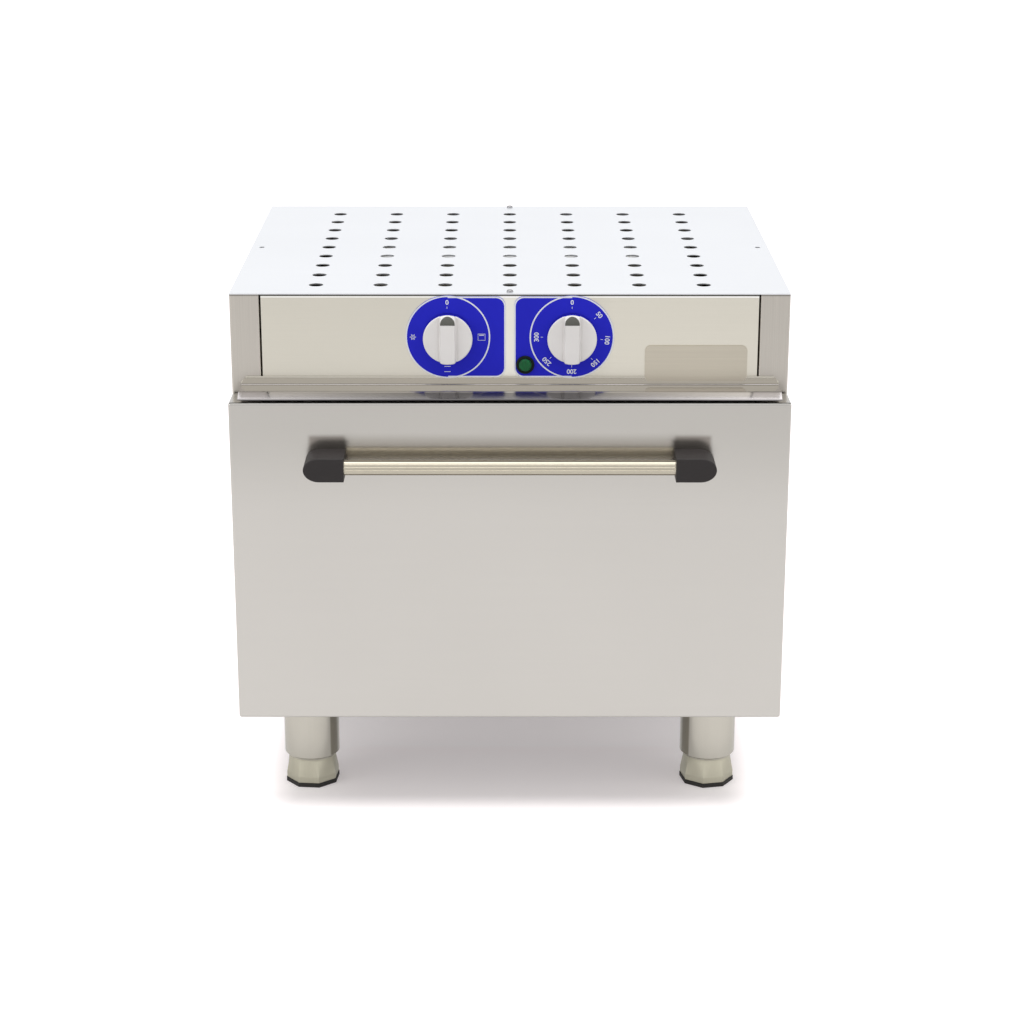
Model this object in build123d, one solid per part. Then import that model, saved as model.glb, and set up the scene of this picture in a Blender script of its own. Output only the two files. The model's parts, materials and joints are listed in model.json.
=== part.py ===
from build123d import *
import math
import os

# Electric convection oven on four adjustable feet, with a drop-down door.
# Millimetres. +X is to the right of someone facing the oven, +Y runs to its back, +Z is up.
# The origin is on the floor, under the middle of the whole oven with its handle and cable gland.

# Cabinet
body_width = 600.0
body_depth = 495.0
overall_height = 585.0
leg_height = 120.0
side_space = 70.0
back_space = 100.0
control_space = 107.0
panel_sheet = 1.0
cover_sheet = 1.2
frame_sheet = 1.5
sheet_bend = 1.5
post_width = 32.0
post_return = 14.0
back_flange = 20.0
top_flange = 20.0
panel_gap = 1.7
pan_wall = 24.0
fit = 0.3
running = 0.05
past = 1.0

# Vented top cover
vent_columns = 7
vent_rows = 9
vent_radius = 7.8
first_vent_column = 90.0
first_vent_row = 41.8
last_vent_row = 53.2
cover_lip = 9.0
cover_lip_inset = 24.0
side_hole_radius = 3.2
side_hole_inset = 12.0
side_hole_y = 241.0
rivet_inset = 9.0
rivet_radius = 3.6
rivet_height = 2.2
rivet_shank = 1.6

# Control panel and what sits on it
panel_height = 98.9
panel_flange = 18.0
dial_spacing = 133.0
dial_drop = 47.5
dial_radius = 45.4
badge_height = 88.7
badge_corner = 10.7
badge_split = 9.2
badge_sheet = 1.4
plate_width = 110.0
plate_height = 39.4
plate_corner = 6.0
plate_sheet = 1.8
plate_inset = 99.7
plate_drop = 76.7
lamp_x = 16.5
lamp_drop = 77.9
bezel_radius = 9.9
bezel_height = 2.5
lens_radius = 7.0
lens_height = 3.5
barrel_radius = 6.0
barrel_length = 28.0

# Knobs, spindles and the controls behind the panel
knob_radius = 26.5
knob_skirt = 11.5
knob_height = 17.0
knob_gap = 0.3
grip_width = 15.6
pointer_length = 8.5
pointer_fall = 5.0
knob_edge = 1.0
spindle_radius = 3.0
spindle_grip = 8.0
bushing_radius = 5.0
bushing_clearance = 0.2
switch_width = 44.0
switch_height = 40.0
switch_depth = 34.0
switch_round = 4.0
switch_tags = 3
switch_tag = 1.6
thermostat_radius = 21.0
thermostat_depth = 24.0
thermostat_round = 2.0
control_standoff = 3.0
spindle_depth = 14.0

# Drip ledge above the door
ledge_sheet = 1.0
ledge_end_gap = 10.0
ledge_upstand = 9.3
ledge_clip = 6.0
ledge_shelf = 30.0
lip_reach = 11.0
lip_drop = 5.6
lip_bead = 0.9
lip_gap = 2.2
frame_flange = 13.0

# Oven cavity and the frame round its mouth
cavity_floor_height = 30.0
cavity_corner = 12.0
cavity_sheet = 1.0
insulation = 27.0
floor_wool = 16.0
back_wool = 25.0
seal_gap = 4.0
seal_width = 8.0
seal_margin = 3.0
seal_round = 1.5

# Fan, its guard and the motor behind the back wall
fan_zone = 50.0
guard_side_gap = 42.0
guard_bottom_gap = 6.0
guard_top_gap = 20.0
guard_return = 16.0
guard_slots = 14
guard_slot_in = 20.0
guard_slot_out = 62.0
guard_slot_width = 7.0
standoff_inset = 23.0
standoff_end_gap = 38.0
standoff_radius = 5.0
guard_screw_radius = 4.5
guard_screw_head = 2.5
fan_radius = 75.0
fan_eye = 46.0
fan_blades = 12
fan_sheet = 1.2
fan_width = 24.0
fan_back_gap = 10.0
fan_hub_radius = 11.0
fan_hub_reach = 4.0
blade_sweep = 18.0
shaft_radius = 5.0
shaft_hole = 9.0
shaft_tip = 2.0
shaft_end_gap = 6.0
nut_width = 17.0
nut_height = 7.0
motor_radius = 42.0
motor_length = 46.0
motor_round = 5.0
motor_ribs = 5
motor_groove = 3.0
motor_groove_depth = 2.0
motor_plate = 120.0
motor_plate_sheet = 2.0
motor_bolt_spacing = 96.0
motor_spacer_radius = 5.0

# Heating elements
element_radius = 4.2
ring_radius = 92.0
ring_gap_angle = 16.0
ring_bend = 10.0
element_tail = 18.0
grill_runs = 6
grill_side = 80.0
grill_drop = 9.0
grill_front = 40.0
grill_back_gap = 30.0
floor_runs = 4
floor_side = 104.0
wool_hole = 1.5

# Racks and the wire shelf
rack_wire = 2.5
rack_levels = 5
rack_first = 42.0
rack_last = 58.0
rack_step_in = 14.0
rack_front = 22.0
rack_back_gap = 14.0
rack_bend = 6.0
rack_top = 22.0
pin_radius = 3.0
pin_length = 9.0
pin_inset = 50.0
shelf_level = 3
shelf_back_space = 89.0
shelf_front = 26.0
shelf_wire = 3.0
shelf_bar = 1.8
shelf_bars = 13
shelf_corner = 14.0
shelf_overlap = 4.0

# Temperature probe
probe_radius = 3.0
probe_length = 90.0
capillary_radius = 1.1
capillary_bend = 10.0
probe_wall_gap = 14.0
probe_front = 60.0

# Bridge seen under the vents
bridge_length = 330.0
bridge_width = 60.0
bridge_front = 236.0
bridge_below_cover = 10.4
bridge_foot = 10.0

# Door
door_thickness = 40.0
door_drop = 5.8
door_edge = 2.5
inner_sheet = 1.0
inner_pan_depth = 3.0
inner_pan_margin = 62.0
inner_pan_corner = 18.0
door_wool_gap = 0.3

# Door hinges
hinge_inset = 39.0
hinge_behind = 16.0
hinge_rise = 10.2
ear_thickness = 5.0
ear_half_height = 5.0
pin_hinge_radius = 4.0
pocket_width = 12.0
pocket_radius = 7.0
cheek_thickness = 2.5
cheek_height = 36.0
cheek_depth = 20.0
hinge_plate_height = 62.0
hinge_plate_depth = 20.0
hinge_plate_round = 3.0
hinge_slot_gap = 0.6

# Handle
handle_reach = 38.0
handle_below_top = 63.7
bar_radius = 8.0
bar_axis = 26.0
flutes = 16
flute_radius = 1.0
bracket_inset = 81.0
bracket_length = 43.0
bracket_height = 26.0
bracket_nose = 17.0
bracket_edge = 1.2
socket_depth = 18.0
socket_clearance = 0.1
handle_screw_radius = 2.5
handle_screw_spacing = 18.0
handle_screw_length = 14.0
handle_head_radius = 4.5
handle_head_height = 2.5

# Legs and feet
leg_inset = 72.0
leg_setback = 50.0
leg_radius = 31.4
leg_wall = 1.5
leg_mouth_radius = 27.6
leg_mouth_height = 3.5
leg_taper = 8.7
foot_height = 33.0
foot_radius = 26.9
foot_neck = 2.0
foot_flat_width = 56.4
foot_straight = 7.0
pad_height = 5.0
pad_flat_width = 57.6
foot_gap = 0.3
stem_radius = 8.0
stem_length = 62.0
bush_low = 26.0
bush_height = 10.0
stud_radius = 5.0
stud_length = 16.0
leg_nut_width = 17.0
leg_nut_height = 8.0
foot_turns = {"front_left": 17.0, "front_right": -11.0, "rear_left": 5.0, "rear_right": 20.0}

# Cable entry and back panel
gland_reach = 18.0
gland_inside = 12.0
gland_inset = 50.0
gland_rise = 45.0
gland_hex = 22.0
gland_hex_height = 6.0
gland_cap_radius = 9.5
gland_bore = 4.0
gland_thread = 8.0
terminal_width = 28.0
terminal_length = 60.0
terminal_height = 20.0
terminal_side_gap = 5.4
terminal_ways = 4
back_vents = 8
back_vent_pitch = 12.0
back_vent_length = 70.0
back_vent_width = 5.0
back_vent_x = 110.0
screw_radius = 2.0
screw_head_radius = 3.8
screw_head_height = 2.2
screw_length = 8.0
screw_margin = 40.0
screw_edge = 10.0

# Planes and heights that follow from the sizes above
half_width = body_width / 2
front_reach = seal_gap + door_thickness + handle_reach
front_y = (front_reach - body_depth - gland_reach) / 2
back_y = front_y + body_depth
top_z = overall_height
base_z = leg_height
cover_under_z = top_z - cover_sheet
ledge_top_z = cover_under_z - panel_height
vent_pitch_x = (body_width - 2 * first_vent_column) / (vent_columns - 1)
vent_pitch_y = (body_depth - first_vent_row - last_vent_row) / (vent_rows - 1)
plate_x = half_width - plate_inset
ledge_half_width = half_width - ledge_end_gap
lip_z = ledge_top_z - ledge_sheet / 2 - lip_drop
door_back_y = front_y - seal_gap
door_face_y = door_back_y - door_thickness
door_bottom_z = base_z - door_drop
door_top_z = lip_z - lip_bead - lip_gap
door_height = door_top_z - door_bottom_z
cavity_width = body_width - 2 * side_space
cavity_depth = body_depth - back_space
cavity_floor_z = base_z + cavity_floor_height
cavity_top_z = top_z - control_space - insulation - cavity_sheet
cavity_height = cavity_top_z - cavity_floor_z
cavity_mid_z = cavity_floor_z + cavity_height / 2
cavity_front_y = front_y + frame_sheet
cavity_back_y = cavity_front_y + cavity_depth
wall_back_y = cavity_back_y + cavity_sheet
guard_y = cavity_back_y - fan_zone
guard_half_width = cavity_width / 2 - guard_side_gap
standoff_x = guard_half_width - standoff_inset
standoff_z = cavity_height / 2 - standoff_end_gap
grill_pitch = (cavity_width - 2 * grill_side) / (grill_runs - 1)
floor_pitch = (cavity_width - 2 * floor_side) / (floor_runs - 1)
shelf_depth = cavity_depth - shelf_back_space
wool_top_z = cavity_top_z + cavity_sheet + insulation
dial_z = top_z - dial_drop
dial_x = dial_spacing / 2
lamp_z = top_z - lamp_drop
badge_face_y = front_y - badge_sheet
knob_back_y = badge_face_y - knob_gap
hinge_x = half_width - hinge_inset
hinge_y = door_back_y - hinge_behind
hinge_z = door_bottom_z + hinge_rise
handle_z = door_top_z - handle_below_top
bar_y = door_face_y - bar_axis
bracket_outer_x = half_width - bracket_inset
bracket_inner_x = bracket_outer_x - bracket_length
leg_x = half_width - leg_inset
gland_x = gland_inset - half_width
rack_x = cavity_width / 2 - rack_wire - fit
runner_x = rack_x - rack_step_in
rack_pitch = (cavity_height - rack_first - rack_last) / (rack_levels - 1)
rack_front_y = front_y + rack_front
rack_back_y = guard_y - rack_back_gap


# Small shape helpers

def block(x, y, z):
    """Box between the low and high value given for each axis."""
    size = Box(x[1] - x[0], y[1] - y[0], z[1] - z[0])
    return Pos((x[0] + x[1]) / 2, (y[0] + y[1]) / 2, (z[0] + z[1]) / 2) * size


def rod_x(radius, y, z, x_low, x_high):
    """Round rod along X."""
    return Pos((x_low + x_high) / 2, y, z) * Rot(0, 90, 0) * Cylinder(radius, x_high - x_low)


def rod_y(radius, x, z, y_low, y_high):
    """Round rod along Y."""
    return Pos(x, (y_low + y_high) / 2, z) * Rot(90, 0, 0) * Cylinder(radius, y_high - y_low)


def rod_z(radius, x, y, z_low, z_high):
    """Round rod along Z."""
    return Pos(x, y, (z_low + z_high) / 2) * Cylinder(radius, z_high - z_low)


def slab_x(sketch, x_low, x_high):
    """Push a side-view sketch (Y to the right, Z up) along X."""
    return extrude(Plane.YZ.offset(x_low) * sketch, x_high - x_low)


def slab_y(sketch, y_low, y_high):
    """Push a front-view sketch (X to the right, Z up) along Y."""
    return extrude(Plane.XZ.offset(-y_high) * sketch, y_high - y_low)


def slab_z(sketch, z_low, z_high):
    """Push a plan sketch along Z."""
    return extrude(Plane.XY.offset(z_low) * sketch, z_high - z_low)


def folded_sheet(points, sheet, bend):
    """Section of a folded sheet whose middle line runs through the points."""
    return trace(FilletPolyline(*points, radius=bend), sheet)


def hexagon(width):
    """Hexagon sketch from its width across the flats."""
    return RegularPolygon(width / 2, 6, major_radius=False)


def octagon(width, turn):
    """Octagon sketch from its width across the flats; one corner points at the angle turn."""
    return Rot(0, 0, turn) * RegularPolygon(width / 2 / math.cos(math.pi / 8), 8)


def pattern(places, sketch):
    """One sketch repeated at every place."""
    return Sketch() + places * sketch


def wire_along(path, radius):
    """Round wire or tube swept along a path."""
    start = Plane(origin=path @ 0, z_dir=path % 0)
    return sweep(start * Circle(radius), path=path)


def mirrored(shape):
    """The same shape on the other side of the oven."""
    return mirror(shape, Plane.YZ)


# Cabinet panels

def right_side_panel():
    """Side wall with its front post, the return behind the post, a back flange and a top flange."""
    mid = panel_sheet / 2
    wall_x = half_width - mid
    return_x = half_width - post_width + mid
    flange_y = back_y - panel_sheet - mid
    path = [
        (return_x, front_y + post_return),
        (return_x, front_y + mid),
        (wall_x, front_y + mid),
        (wall_x, flange_y),
        (half_width - back_flange, flange_y),
    ]
    panel = slab_z(folded_sheet(path, panel_sheet, sheet_bend), base_z, cover_under_z)
    relief = 2 * sheet_bend
    panel += block(
        (half_width - top_flange, wall_x),
        (front_y + post_return + relief, flange_y - relief),
        (cover_under_z - panel_sheet, cover_under_z),
    )
    pan_notch = base_z + pan_wall + relief
    panel -= block(
        (return_x - panel_sheet, wall_x - panel_sheet),
        (front_y + panel_sheet, front_y + post_return + relief),
        (base_z - panel_sheet, pan_notch),
    )
    panel -= rod_z(
        side_hole_radius,
        half_width - side_hole_inset,
        front_y + side_hole_y,
        cover_under_z - 2 * panel_sheet,
        top_z,
    )
    for z in back_screw_heights():
        hole_x = half_width - screw_edge
        panel -= rod_y(screw_radius + fit / 2, hole_x, z, flange_y - panel_sheet, back_y)
    return panel


def back_screw_heights():
    """Heights of the three screws down each edge of the back panel."""
    low = base_z + screw_margin
    high = cover_under_z - screw_margin
    return (low, (low + high) / 2, high)


def base_pan():
    """Shallow tray that closes the cabinet below and carries the legs."""
    x = half_width - panel_sheet - fit
    y_low = front_y + frame_sheet + fit
    y_high = back_y - 2 * panel_sheet - fit
    pan = block((-x, x), (y_low, y_high), (base_z, base_z + pan_wall))
    pan = fillet(pan.edges().filter_by(Axis.Z), sheet_bend + cover_sheet)
    pan = fillet(pan.faces().sort_by(Axis.Z)[0].edges(), sheet_bend)
    rim = cover_sheet
    pan -= block((-x + rim, x - rim), (y_low + rim, y_high - rim), (base_z + rim, top_z))
    for leg_place in leg_places().values():
        pan -= rod_z(stud_radius + fit, *leg_place, base_z - rim, base_z + 2 * rim)
    notch = ear_thickness / 2 + hinge_slot_gap
    for side in (-1, 1):
        x = (side * hinge_x - notch, side * hinge_x + notch)
        y = (y_low - past, y_low + 2 * frame_sheet + hinge_slot_gap)
        pan -= block(x, y, (base_z - past, base_z + 2 * pan_wall))
    return pan


def back_panel():
    """Flat back with cooling slots behind the motor and the cable entry hole."""
    panel = block(
        (-half_width + 2 * panel_sheet, half_width - 2 * panel_sheet),
        (back_y - panel_sheet, back_y),
        (base_z, cover_under_z),
    )
    slot = SlotOverall(back_vent_length, back_vent_width)
    column = pattern(GridLocations(2 * back_vent_x, back_vent_pitch, 2, back_vents), slot)
    panel -= slab_y(Pos(0, cavity_mid_z) * column, back_y - 2 * panel_sheet, back_y + panel_sheet)
    gland_z = base_z + gland_rise
    panel -= rod_y(gland_thread + fit, gland_x, gland_z, back_y - 2 * panel_sheet, back_y + panel_sheet)
    for side in (-1, 1):
        for z in back_screw_heights():
            hole_x = side * (half_width - screw_edge)
            panel -= rod_y(screw_radius + fit / 2, hole_x, z, back_y - 2 * panel_sheet, back_y + past)
    return panel


def back_screws():
    """Six pan-head screws that hold the back panel to the side flanges."""
    screws = []
    for side in (-1, 1):
        for z in back_screw_heights():
            x = side * (half_width - screw_edge)
            shank = rod_y(screw_radius, x, z, back_y - screw_length, back_y)
            head = rod_y(screw_head_radius, x, z, back_y, back_y + screw_head_height)
            head = fillet(head.faces().sort_by(Axis.Y)[-1].edges(), screw_head_height / 2)
            screws.append(shank + head)
    return screws


def top_cover():
    """Cover plate with its grid of vents and a folded lip that drops inside the cabinet."""
    cover = block((-half_width, half_width), (front_y, back_y), (cover_under_z, top_z))
    cover = fillet(cover.edges().filter_by(Axis.Z), sheet_bend)
    lip_x = half_width - cover_lip_inset
    lip_y = (front_y + cover_lip_inset, back_y - cover_lip_inset)
    lip_z = (cover_under_z - cover_lip, cover_under_z)
    lip = block((-lip_x, lip_x), lip_y, lip_z)
    lip -= block(
        (-lip_x + cover_sheet, lip_x - cover_sheet),
        (lip_y[0] + cover_sheet, lip_y[1] - cover_sheet),
        lip_z,
    )
    cover += lip
    grid_y = front_y + first_vent_row + vent_pitch_y * (vent_rows - 1) / 2
    grid = GridLocations(vent_pitch_x, vent_pitch_y, vent_columns, vent_rows)
    vents = pattern(grid, Circle(vent_radius))
    cover -= slab_z(Pos(0, grid_y) * vents, cover_under_z - cover_sheet, top_z + cover_sheet)
    for side in (-1, 1):
        hole_x = side * (half_width - side_hole_inset)
        cover -= rod_z(side_hole_radius, hole_x, front_y + side_hole_y, cover_under_z - past, top_z + past)
    for rivet_y in rivet_places():
        cover -= rod_z(rivet_shank, 0, rivet_y, cover_under_z - past, top_z + past)
    return cover


def rivet_places():
    """Distances back of the cover's front and back rivet."""
    return (front_y + rivet_inset, back_y - rivet_inset + panel_sheet)


def cover_rivets():
    """Two dome-headed rivets on the middle line of the cover."""
    rivets = []
    for rivet_y in rivet_places():
        dome = Pos(0, rivet_y, top_z) * Cylinder(rivet_radius, 2 * rivet_height)
        dome = fillet(dome.edges().filter_by(GeomType.CIRCLE), rivet_height * 0.9)
        dome -= block(
            (-rivet_radius, rivet_radius),
            (rivet_y - rivet_radius, rivet_y + rivet_radius),
            (top_z - 2 * rivet_height, top_z),
        )
        shank = rod_z(rivet_shank, 0, rivet_y, cover_under_z - 3 * panel_sheet, top_z + rivet_height / 2)
        rivets.append(dome + shank)
    return rivets


def control_panel():
    """Front panel between the posts, folded back at its top and bottom."""
    mid = panel_sheet / 2
    path = [
        (front_y + post_return, ledge_top_z + mid),
        (front_y + mid, ledge_top_z + mid),
        (front_y + mid, cover_under_z - mid),
        (front_y + panel_flange, cover_under_z - mid),
    ]
    x = half_width - post_width - panel_gap
    panel = slab_x(folded_sheet(path, panel_sheet, sheet_bend), -x, x)
    through = (front_y - panel_sheet, front_y + 2 * panel_sheet)
    for side in (-1, 1):
        panel -= rod_y(bushing_radius + bushing_clearance, side * dial_x, dial_z, *through)
    panel -= rod_y(barrel_radius + bushing_clearance, lamp_x, lamp_z, *through)
    rivet_y = rivet_places()[0]
    panel -= rod_z(rivet_shank, 0, rivet_y, cover_under_z - 2 * panel_sheet, top_z)
    return panel


def drip_ledge():
    """Polished ledge: an upstand on the face of the panel, a flat shelf and a lip that slopes down."""
    mid = ledge_sheet / 2
    lip_y = front_y - ledge_shelf - lip_reach
    path = [
        (front_y - mid, ledge_top_z + ledge_upstand),
        (front_y - mid, ledge_top_z - mid),
        (front_y - ledge_shelf, ledge_top_z - mid),
        (lip_y, lip_z),
    ]
    section = folded_sheet(path, ledge_sheet, ledge_sheet)
    section += Pos(lip_y, lip_z) * Circle(lip_bead)
    ledge = slab_x(section, -ledge_half_width, ledge_half_width)
    upper = ledge.edges().filter_by(Axis.Y).group_by(Axis.Z)[-1]
    return chamfer(upper, ledge_clip)


def front_frame():
    """Picture frame round the oven mouth, with slots for the door hinges."""
    mid = frame_sheet / 2
    path = [
        (front_y + mid, base_z + fit),
        (front_y + mid, ledge_top_z - mid),
        (front_y + frame_flange, ledge_top_z - mid),
    ]
    x = half_width - post_width - panel_gap
    frame = slab_x(folded_sheet(path, frame_sheet, sheet_bend), -x, x)
    mouth = Pos(0, cavity_mid_z) * RectangleRounded(cavity_width, cavity_height, cavity_corner)
    frame -= slab_y(mouth, front_y - frame_sheet, front_y + 2 * frame_sheet)
    slot_x = ear_thickness / 2 + hinge_slot_gap
    slot_z = ear_half_height + hinge_slot_gap
    for side in (-1, 1):
        middle = side * hinge_x
        frame -= block(
            (middle - slot_x, middle + slot_x),
            (front_y - frame_sheet, front_y + 2 * frame_sheet),
            (hinge_z - slot_z, hinge_z + slot_z),
        )
    return frame


# Oven cavity

def cavity_outline(grow):
    """Front view of the cavity, grown outwards by the given amount."""
    outline = RectangleRounded(cavity_width + 2 * grow, cavity_height + 2 * grow, cavity_corner + grow)
    return Pos(0, cavity_mid_z) * outline


def cavity_shell():
    """Floor, sides and ceiling of the oven, folded from one sheet."""
    shell = slab_y(cavity_outline(cavity_sheet) - cavity_outline(0), cavity_front_y, cavity_back_y)
    hole = capillary_radius + wool_hole
    shell -= rod_z(hole, probe_x(), probe_front_y(), cavity_top_z - past, cavity_top_z + 2 * cavity_sheet)
    return shell


def cavity_back_wall():
    """Back wall with the fan shaft hole and the holes that the elements pass through."""
    wall = slab_y(cavity_outline(cavity_sheet), cavity_back_y, wall_back_y)
    wall -= rod_y(shaft_hole, 0, cavity_mid_z, cavity_back_y - past, wall_back_y + past)
    for x, z in element_holes():
        wall -= rod_y(element_radius + fit / 2, x, z, cavity_back_y - past, wall_back_y + past)
    return wall


def element_holes():
    """Where the ring and grill elements pass through the back wall."""
    ring_x = ring_tail_x()
    ring_z = ring_tail_z()
    grill_x = grill_pitch * (grill_runs - 1) / 2
    grill_z = cavity_top_z - grill_drop
    return [(-ring_x, ring_z), (ring_x, ring_z), (-grill_x, grill_z), (grill_x, grill_z)]


def insulation_wrap():
    """Mineral wool over the ceiling and both sides of the cavity."""
    outer = cavity_outline(cavity_sheet + insulation)
    wrap = slab_y(outer - cavity_outline(cavity_sheet), cavity_front_y + 2 * fit, wall_back_y)
    reach = half_width
    wrap -= block((-reach, reach), (front_y, back_y), (base_z, cavity_floor_z + cavity_corner))
    hole = capillary_radius + wool_hole
    wrap -= rod_z(hole, probe_x(), probe_front_y(), cavity_top_z, wool_top_z + past)
    return wrap


def insulation_slabs():
    """Wool slab under the floor element and wool slab behind the back wall."""
    x = cavity_width / 2 + insulation
    floor_low = base_z + cover_sheet
    floor_y = (front_y + 2 * panel_flange, wall_back_y)
    floor_slab = block((-x, x), floor_y, (floor_low, floor_low + floor_wool))
    for leg_place in leg_places().values():
        floor_slab -= rod_z(leg_nut_width, *leg_place, base_z, floor_low + leg_nut_height + stud_length)
    back_slab = slab_y(cavity_outline(0), wall_back_y, wall_back_y + back_wool)
    back_slab -= rod_y(shaft_hole, 0, cavity_mid_z, cavity_back_y, wall_back_y + 2 * back_wool)
    for x, z in motor_bolt_places():
        back_slab -= rod_y(motor_spacer_radius + fit, x, z, cavity_back_y, wall_back_y + 2 * back_wool)
    for x, z in element_holes():
        back_slab -= rod_y(element_radius + wool_hole, x, z, cavity_back_y, wall_back_y + 2 * back_wool)
    return [floor_slab, back_slab]


def door_seal():
    """Silicone seal round the oven mouth, just short of the closed door."""
    inner = cavity_outline(seal_margin)
    outer = cavity_outline(seal_margin + seal_width)
    seal = slab_y(outer - inner, door_back_y + fit, front_y)
    return fillet(seal.faces().sort_by(Axis.Y)[0].edges(), seal_round)


# Fan, motor and heating elements

def fan_guard():
    """Guard plate in front of the fan, with a rosette of intake slots and folded sides."""
    mid = cavity_sheet / 2
    path = [
        (-guard_half_width + mid, guard_y + guard_return),
        (-guard_half_width + mid, guard_y + mid),
        (guard_half_width - mid, guard_y + mid),
        (guard_half_width - mid, guard_y + guard_return),
    ]
    low = cavity_floor_z + guard_bottom_gap
    high = cavity_top_z - guard_top_gap
    guard = slab_z(folded_sheet(path, cavity_sheet, sheet_bend), low, high)
    slot = SlotOverall(guard_slot_out - guard_slot_in, guard_slot_width)
    middle = (guard_slot_out + guard_slot_in) / 2
    rosette = Pos(0, cavity_mid_z) * pattern(PolarLocations(middle, guard_slots), slot)
    guard -= slab_y(rosette, guard_y - past, guard_y + 2 * cavity_sheet)
    return guard


def guard_fixings():
    """Four standoffs between the back wall and the guard, each with a screw head in front."""
    fixings = []
    for side in (-1, 1):
        for level in (-1, 1):
            x = side * standoff_x
            z = cavity_mid_z + level * standoff_z
            fixings.append(rod_y(standoff_radius, x, z, guard_y + cavity_sheet, cavity_back_y))
            head = rod_y(guard_screw_radius, x, z, guard_y - guard_screw_head, guard_y)
            head = fillet(head.faces().sort_by(Axis.Y)[0].edges(), guard_screw_head / 2)
            fixings.append(head)
    return fixings


def fan():
    """Radial impeller: back plate, curved blades and a front ring."""
    back = cavity_back_y - fan_back_gap
    front = back - fan_width
    wheel = rod_y(fan_radius, 0, cavity_mid_z, back - fan_sheet, back)
    ring = rod_y(fan_radius, 0, cavity_mid_z, front, front + fan_sheet)
    ring -= rod_y(fan_eye, 0, cavity_mid_z, front - past, front + 2 * fan_sheet)
    wheel += ring
    start = (fan_eye + fan_sheet, 0)
    end = Vector(fan_radius - fan_sheet, 0).rotate(Axis.Z, -blade_sweep)
    bulge = Vector((fan_eye + fan_radius) / 2, 0).rotate(Axis.Z, -blade_sweep / 3)
    blade = trace(ThreePointArc(start, (bulge.X, bulge.Y), (end.X, end.Y)), fan_sheet)
    for turn in range(fan_blades):
        placed = Pos(0, cavity_mid_z) * Rot(0, 0, turn * 360 / fan_blades) * blade
        wheel += slab_y(placed, front + fan_sheet / 2, back - fan_sheet / 2)
    wheel += rod_y(fan_hub_radius, 0, cavity_mid_z, front + fan_width / 2, back + fan_hub_reach)
    wheel -= rod_y(shaft_radius, 0, cavity_mid_z, front - past, back + fan_hub_reach + past)
    return wheel


def fan_shaft():
    """Motor shaft with the nut that holds the fan."""
    back = wall_back_y + back_wool + motor_plate_sheet + motor_length - shaft_end_gap
    hub_front = cavity_back_y - fan_back_gap - fan_width / 2
    shaft = rod_y(shaft_radius, 0, cavity_mid_z, hub_front - nut_height - shaft_tip, back)
    nut = slab_y(Pos(0, cavity_mid_z) * hexagon(nut_width), hub_front - nut_height, hub_front)
    nut -= rod_y(shaft_radius, 0, cavity_mid_z, hub_front - 2 * nut_height, hub_front + past)
    return [shaft, nut]


def motor_bolt_places():
    """Front-view places of the four spacers that carry the motor."""
    offset = motor_bolt_spacing / 2
    return [(x, cavity_mid_z + z) for x in (-offset, offset) for z in (-offset, offset)]


def motor_mount():
    """Mounting plate welded to four spacers that stand on the back wall."""
    plate_y = wall_back_y + back_wool
    outline = RectangleRounded(motor_plate, motor_plate, 2 * motor_spacer_radius)
    plate = slab_y(Pos(0, cavity_mid_z) * outline, plate_y, plate_y + motor_plate_sheet)
    plate -= rod_y(shaft_hole, 0, cavity_mid_z, plate_y - past, plate_y + 2 * motor_plate_sheet)
    for x, z in motor_bolt_places():
        plate += rod_y(motor_spacer_radius, x, z, wall_back_y, plate_y + motor_plate_sheet / 2)
    return plate


def fan_motor():
    """Motor can with cooling ribs and the bearing bore for the fan shaft."""
    front = wall_back_y + back_wool + motor_plate_sheet
    back = front + motor_length
    motor = rod_y(motor_radius, 0, cavity_mid_z, front, back)
    motor = fillet(motor.faces().sort_by(Axis.Y)[-1].edges(), motor_round)
    half = motor_groove / 2
    for rib in range(motor_ribs):
        y = front + motor_length * (rib + 1) / (motor_ribs + 1)
        ring = rod_y(motor_radius + past, 0, cavity_mid_z, y - half, y + half)
        ring -= rod_y(motor_radius - motor_groove_depth, 0, cavity_mid_z, y - motor_groove, y + motor_groove)
        motor -= ring
    motor -= rod_y(shaft_radius + running, 0, cavity_mid_z, front - past, back - shaft_end_gap + past)
    return motor


def ring_tail_x():
    """Sideways place of each tail of the ring element."""
    angle = math.radians(ring_gap_angle)
    return ring_radius * math.sin(angle) - ring_bend * math.cos(angle)


def ring_tail_z():
    """Height of the tails of the ring element."""
    angle = math.radians(ring_gap_angle)
    return cavity_mid_z + ring_radius * math.cos(angle) + ring_bend * math.sin(angle)


def ring_element():
    """Tubular heater round the fan; its two tails bend back through the wall."""
    y = cavity_back_y - fan_back_gap - fan_width / 2
    angle = math.radians(ring_gap_angle)
    start = Vector(ring_radius * math.sin(angle), y, cavity_mid_z + ring_radius * math.cos(angle))
    along = Vector(-math.cos(angle), 0, math.sin(angle))
    back = Vector(0, 1, 0)
    eighth = math.pi / 4
    corner = start + along * ring_bend * math.sin(eighth) + back * ring_bend * (1 - math.cos(eighth))
    turned = start + along * ring_bend + back * ring_bend
    tail_end = Vector(turned.X, wall_back_y + element_tail, turned.Z)
    bottom = Vector(0, y, cavity_mid_z - ring_radius)
    flip = lambda point: Vector(-point.X, point.Y, point.Z)
    path = Wire([
        Edge.make_line(tail_end, turned),
        Edge.make_three_point_arc(turned, corner, start),
        Edge.make_three_point_arc(start, bottom, flip(start)),
        Edge.make_three_point_arc(flip(start), flip(corner), flip(turned)),
        Edge.make_line(flip(turned), flip(tail_end)),
    ])
    return wire_along(path, element_radius)


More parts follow.
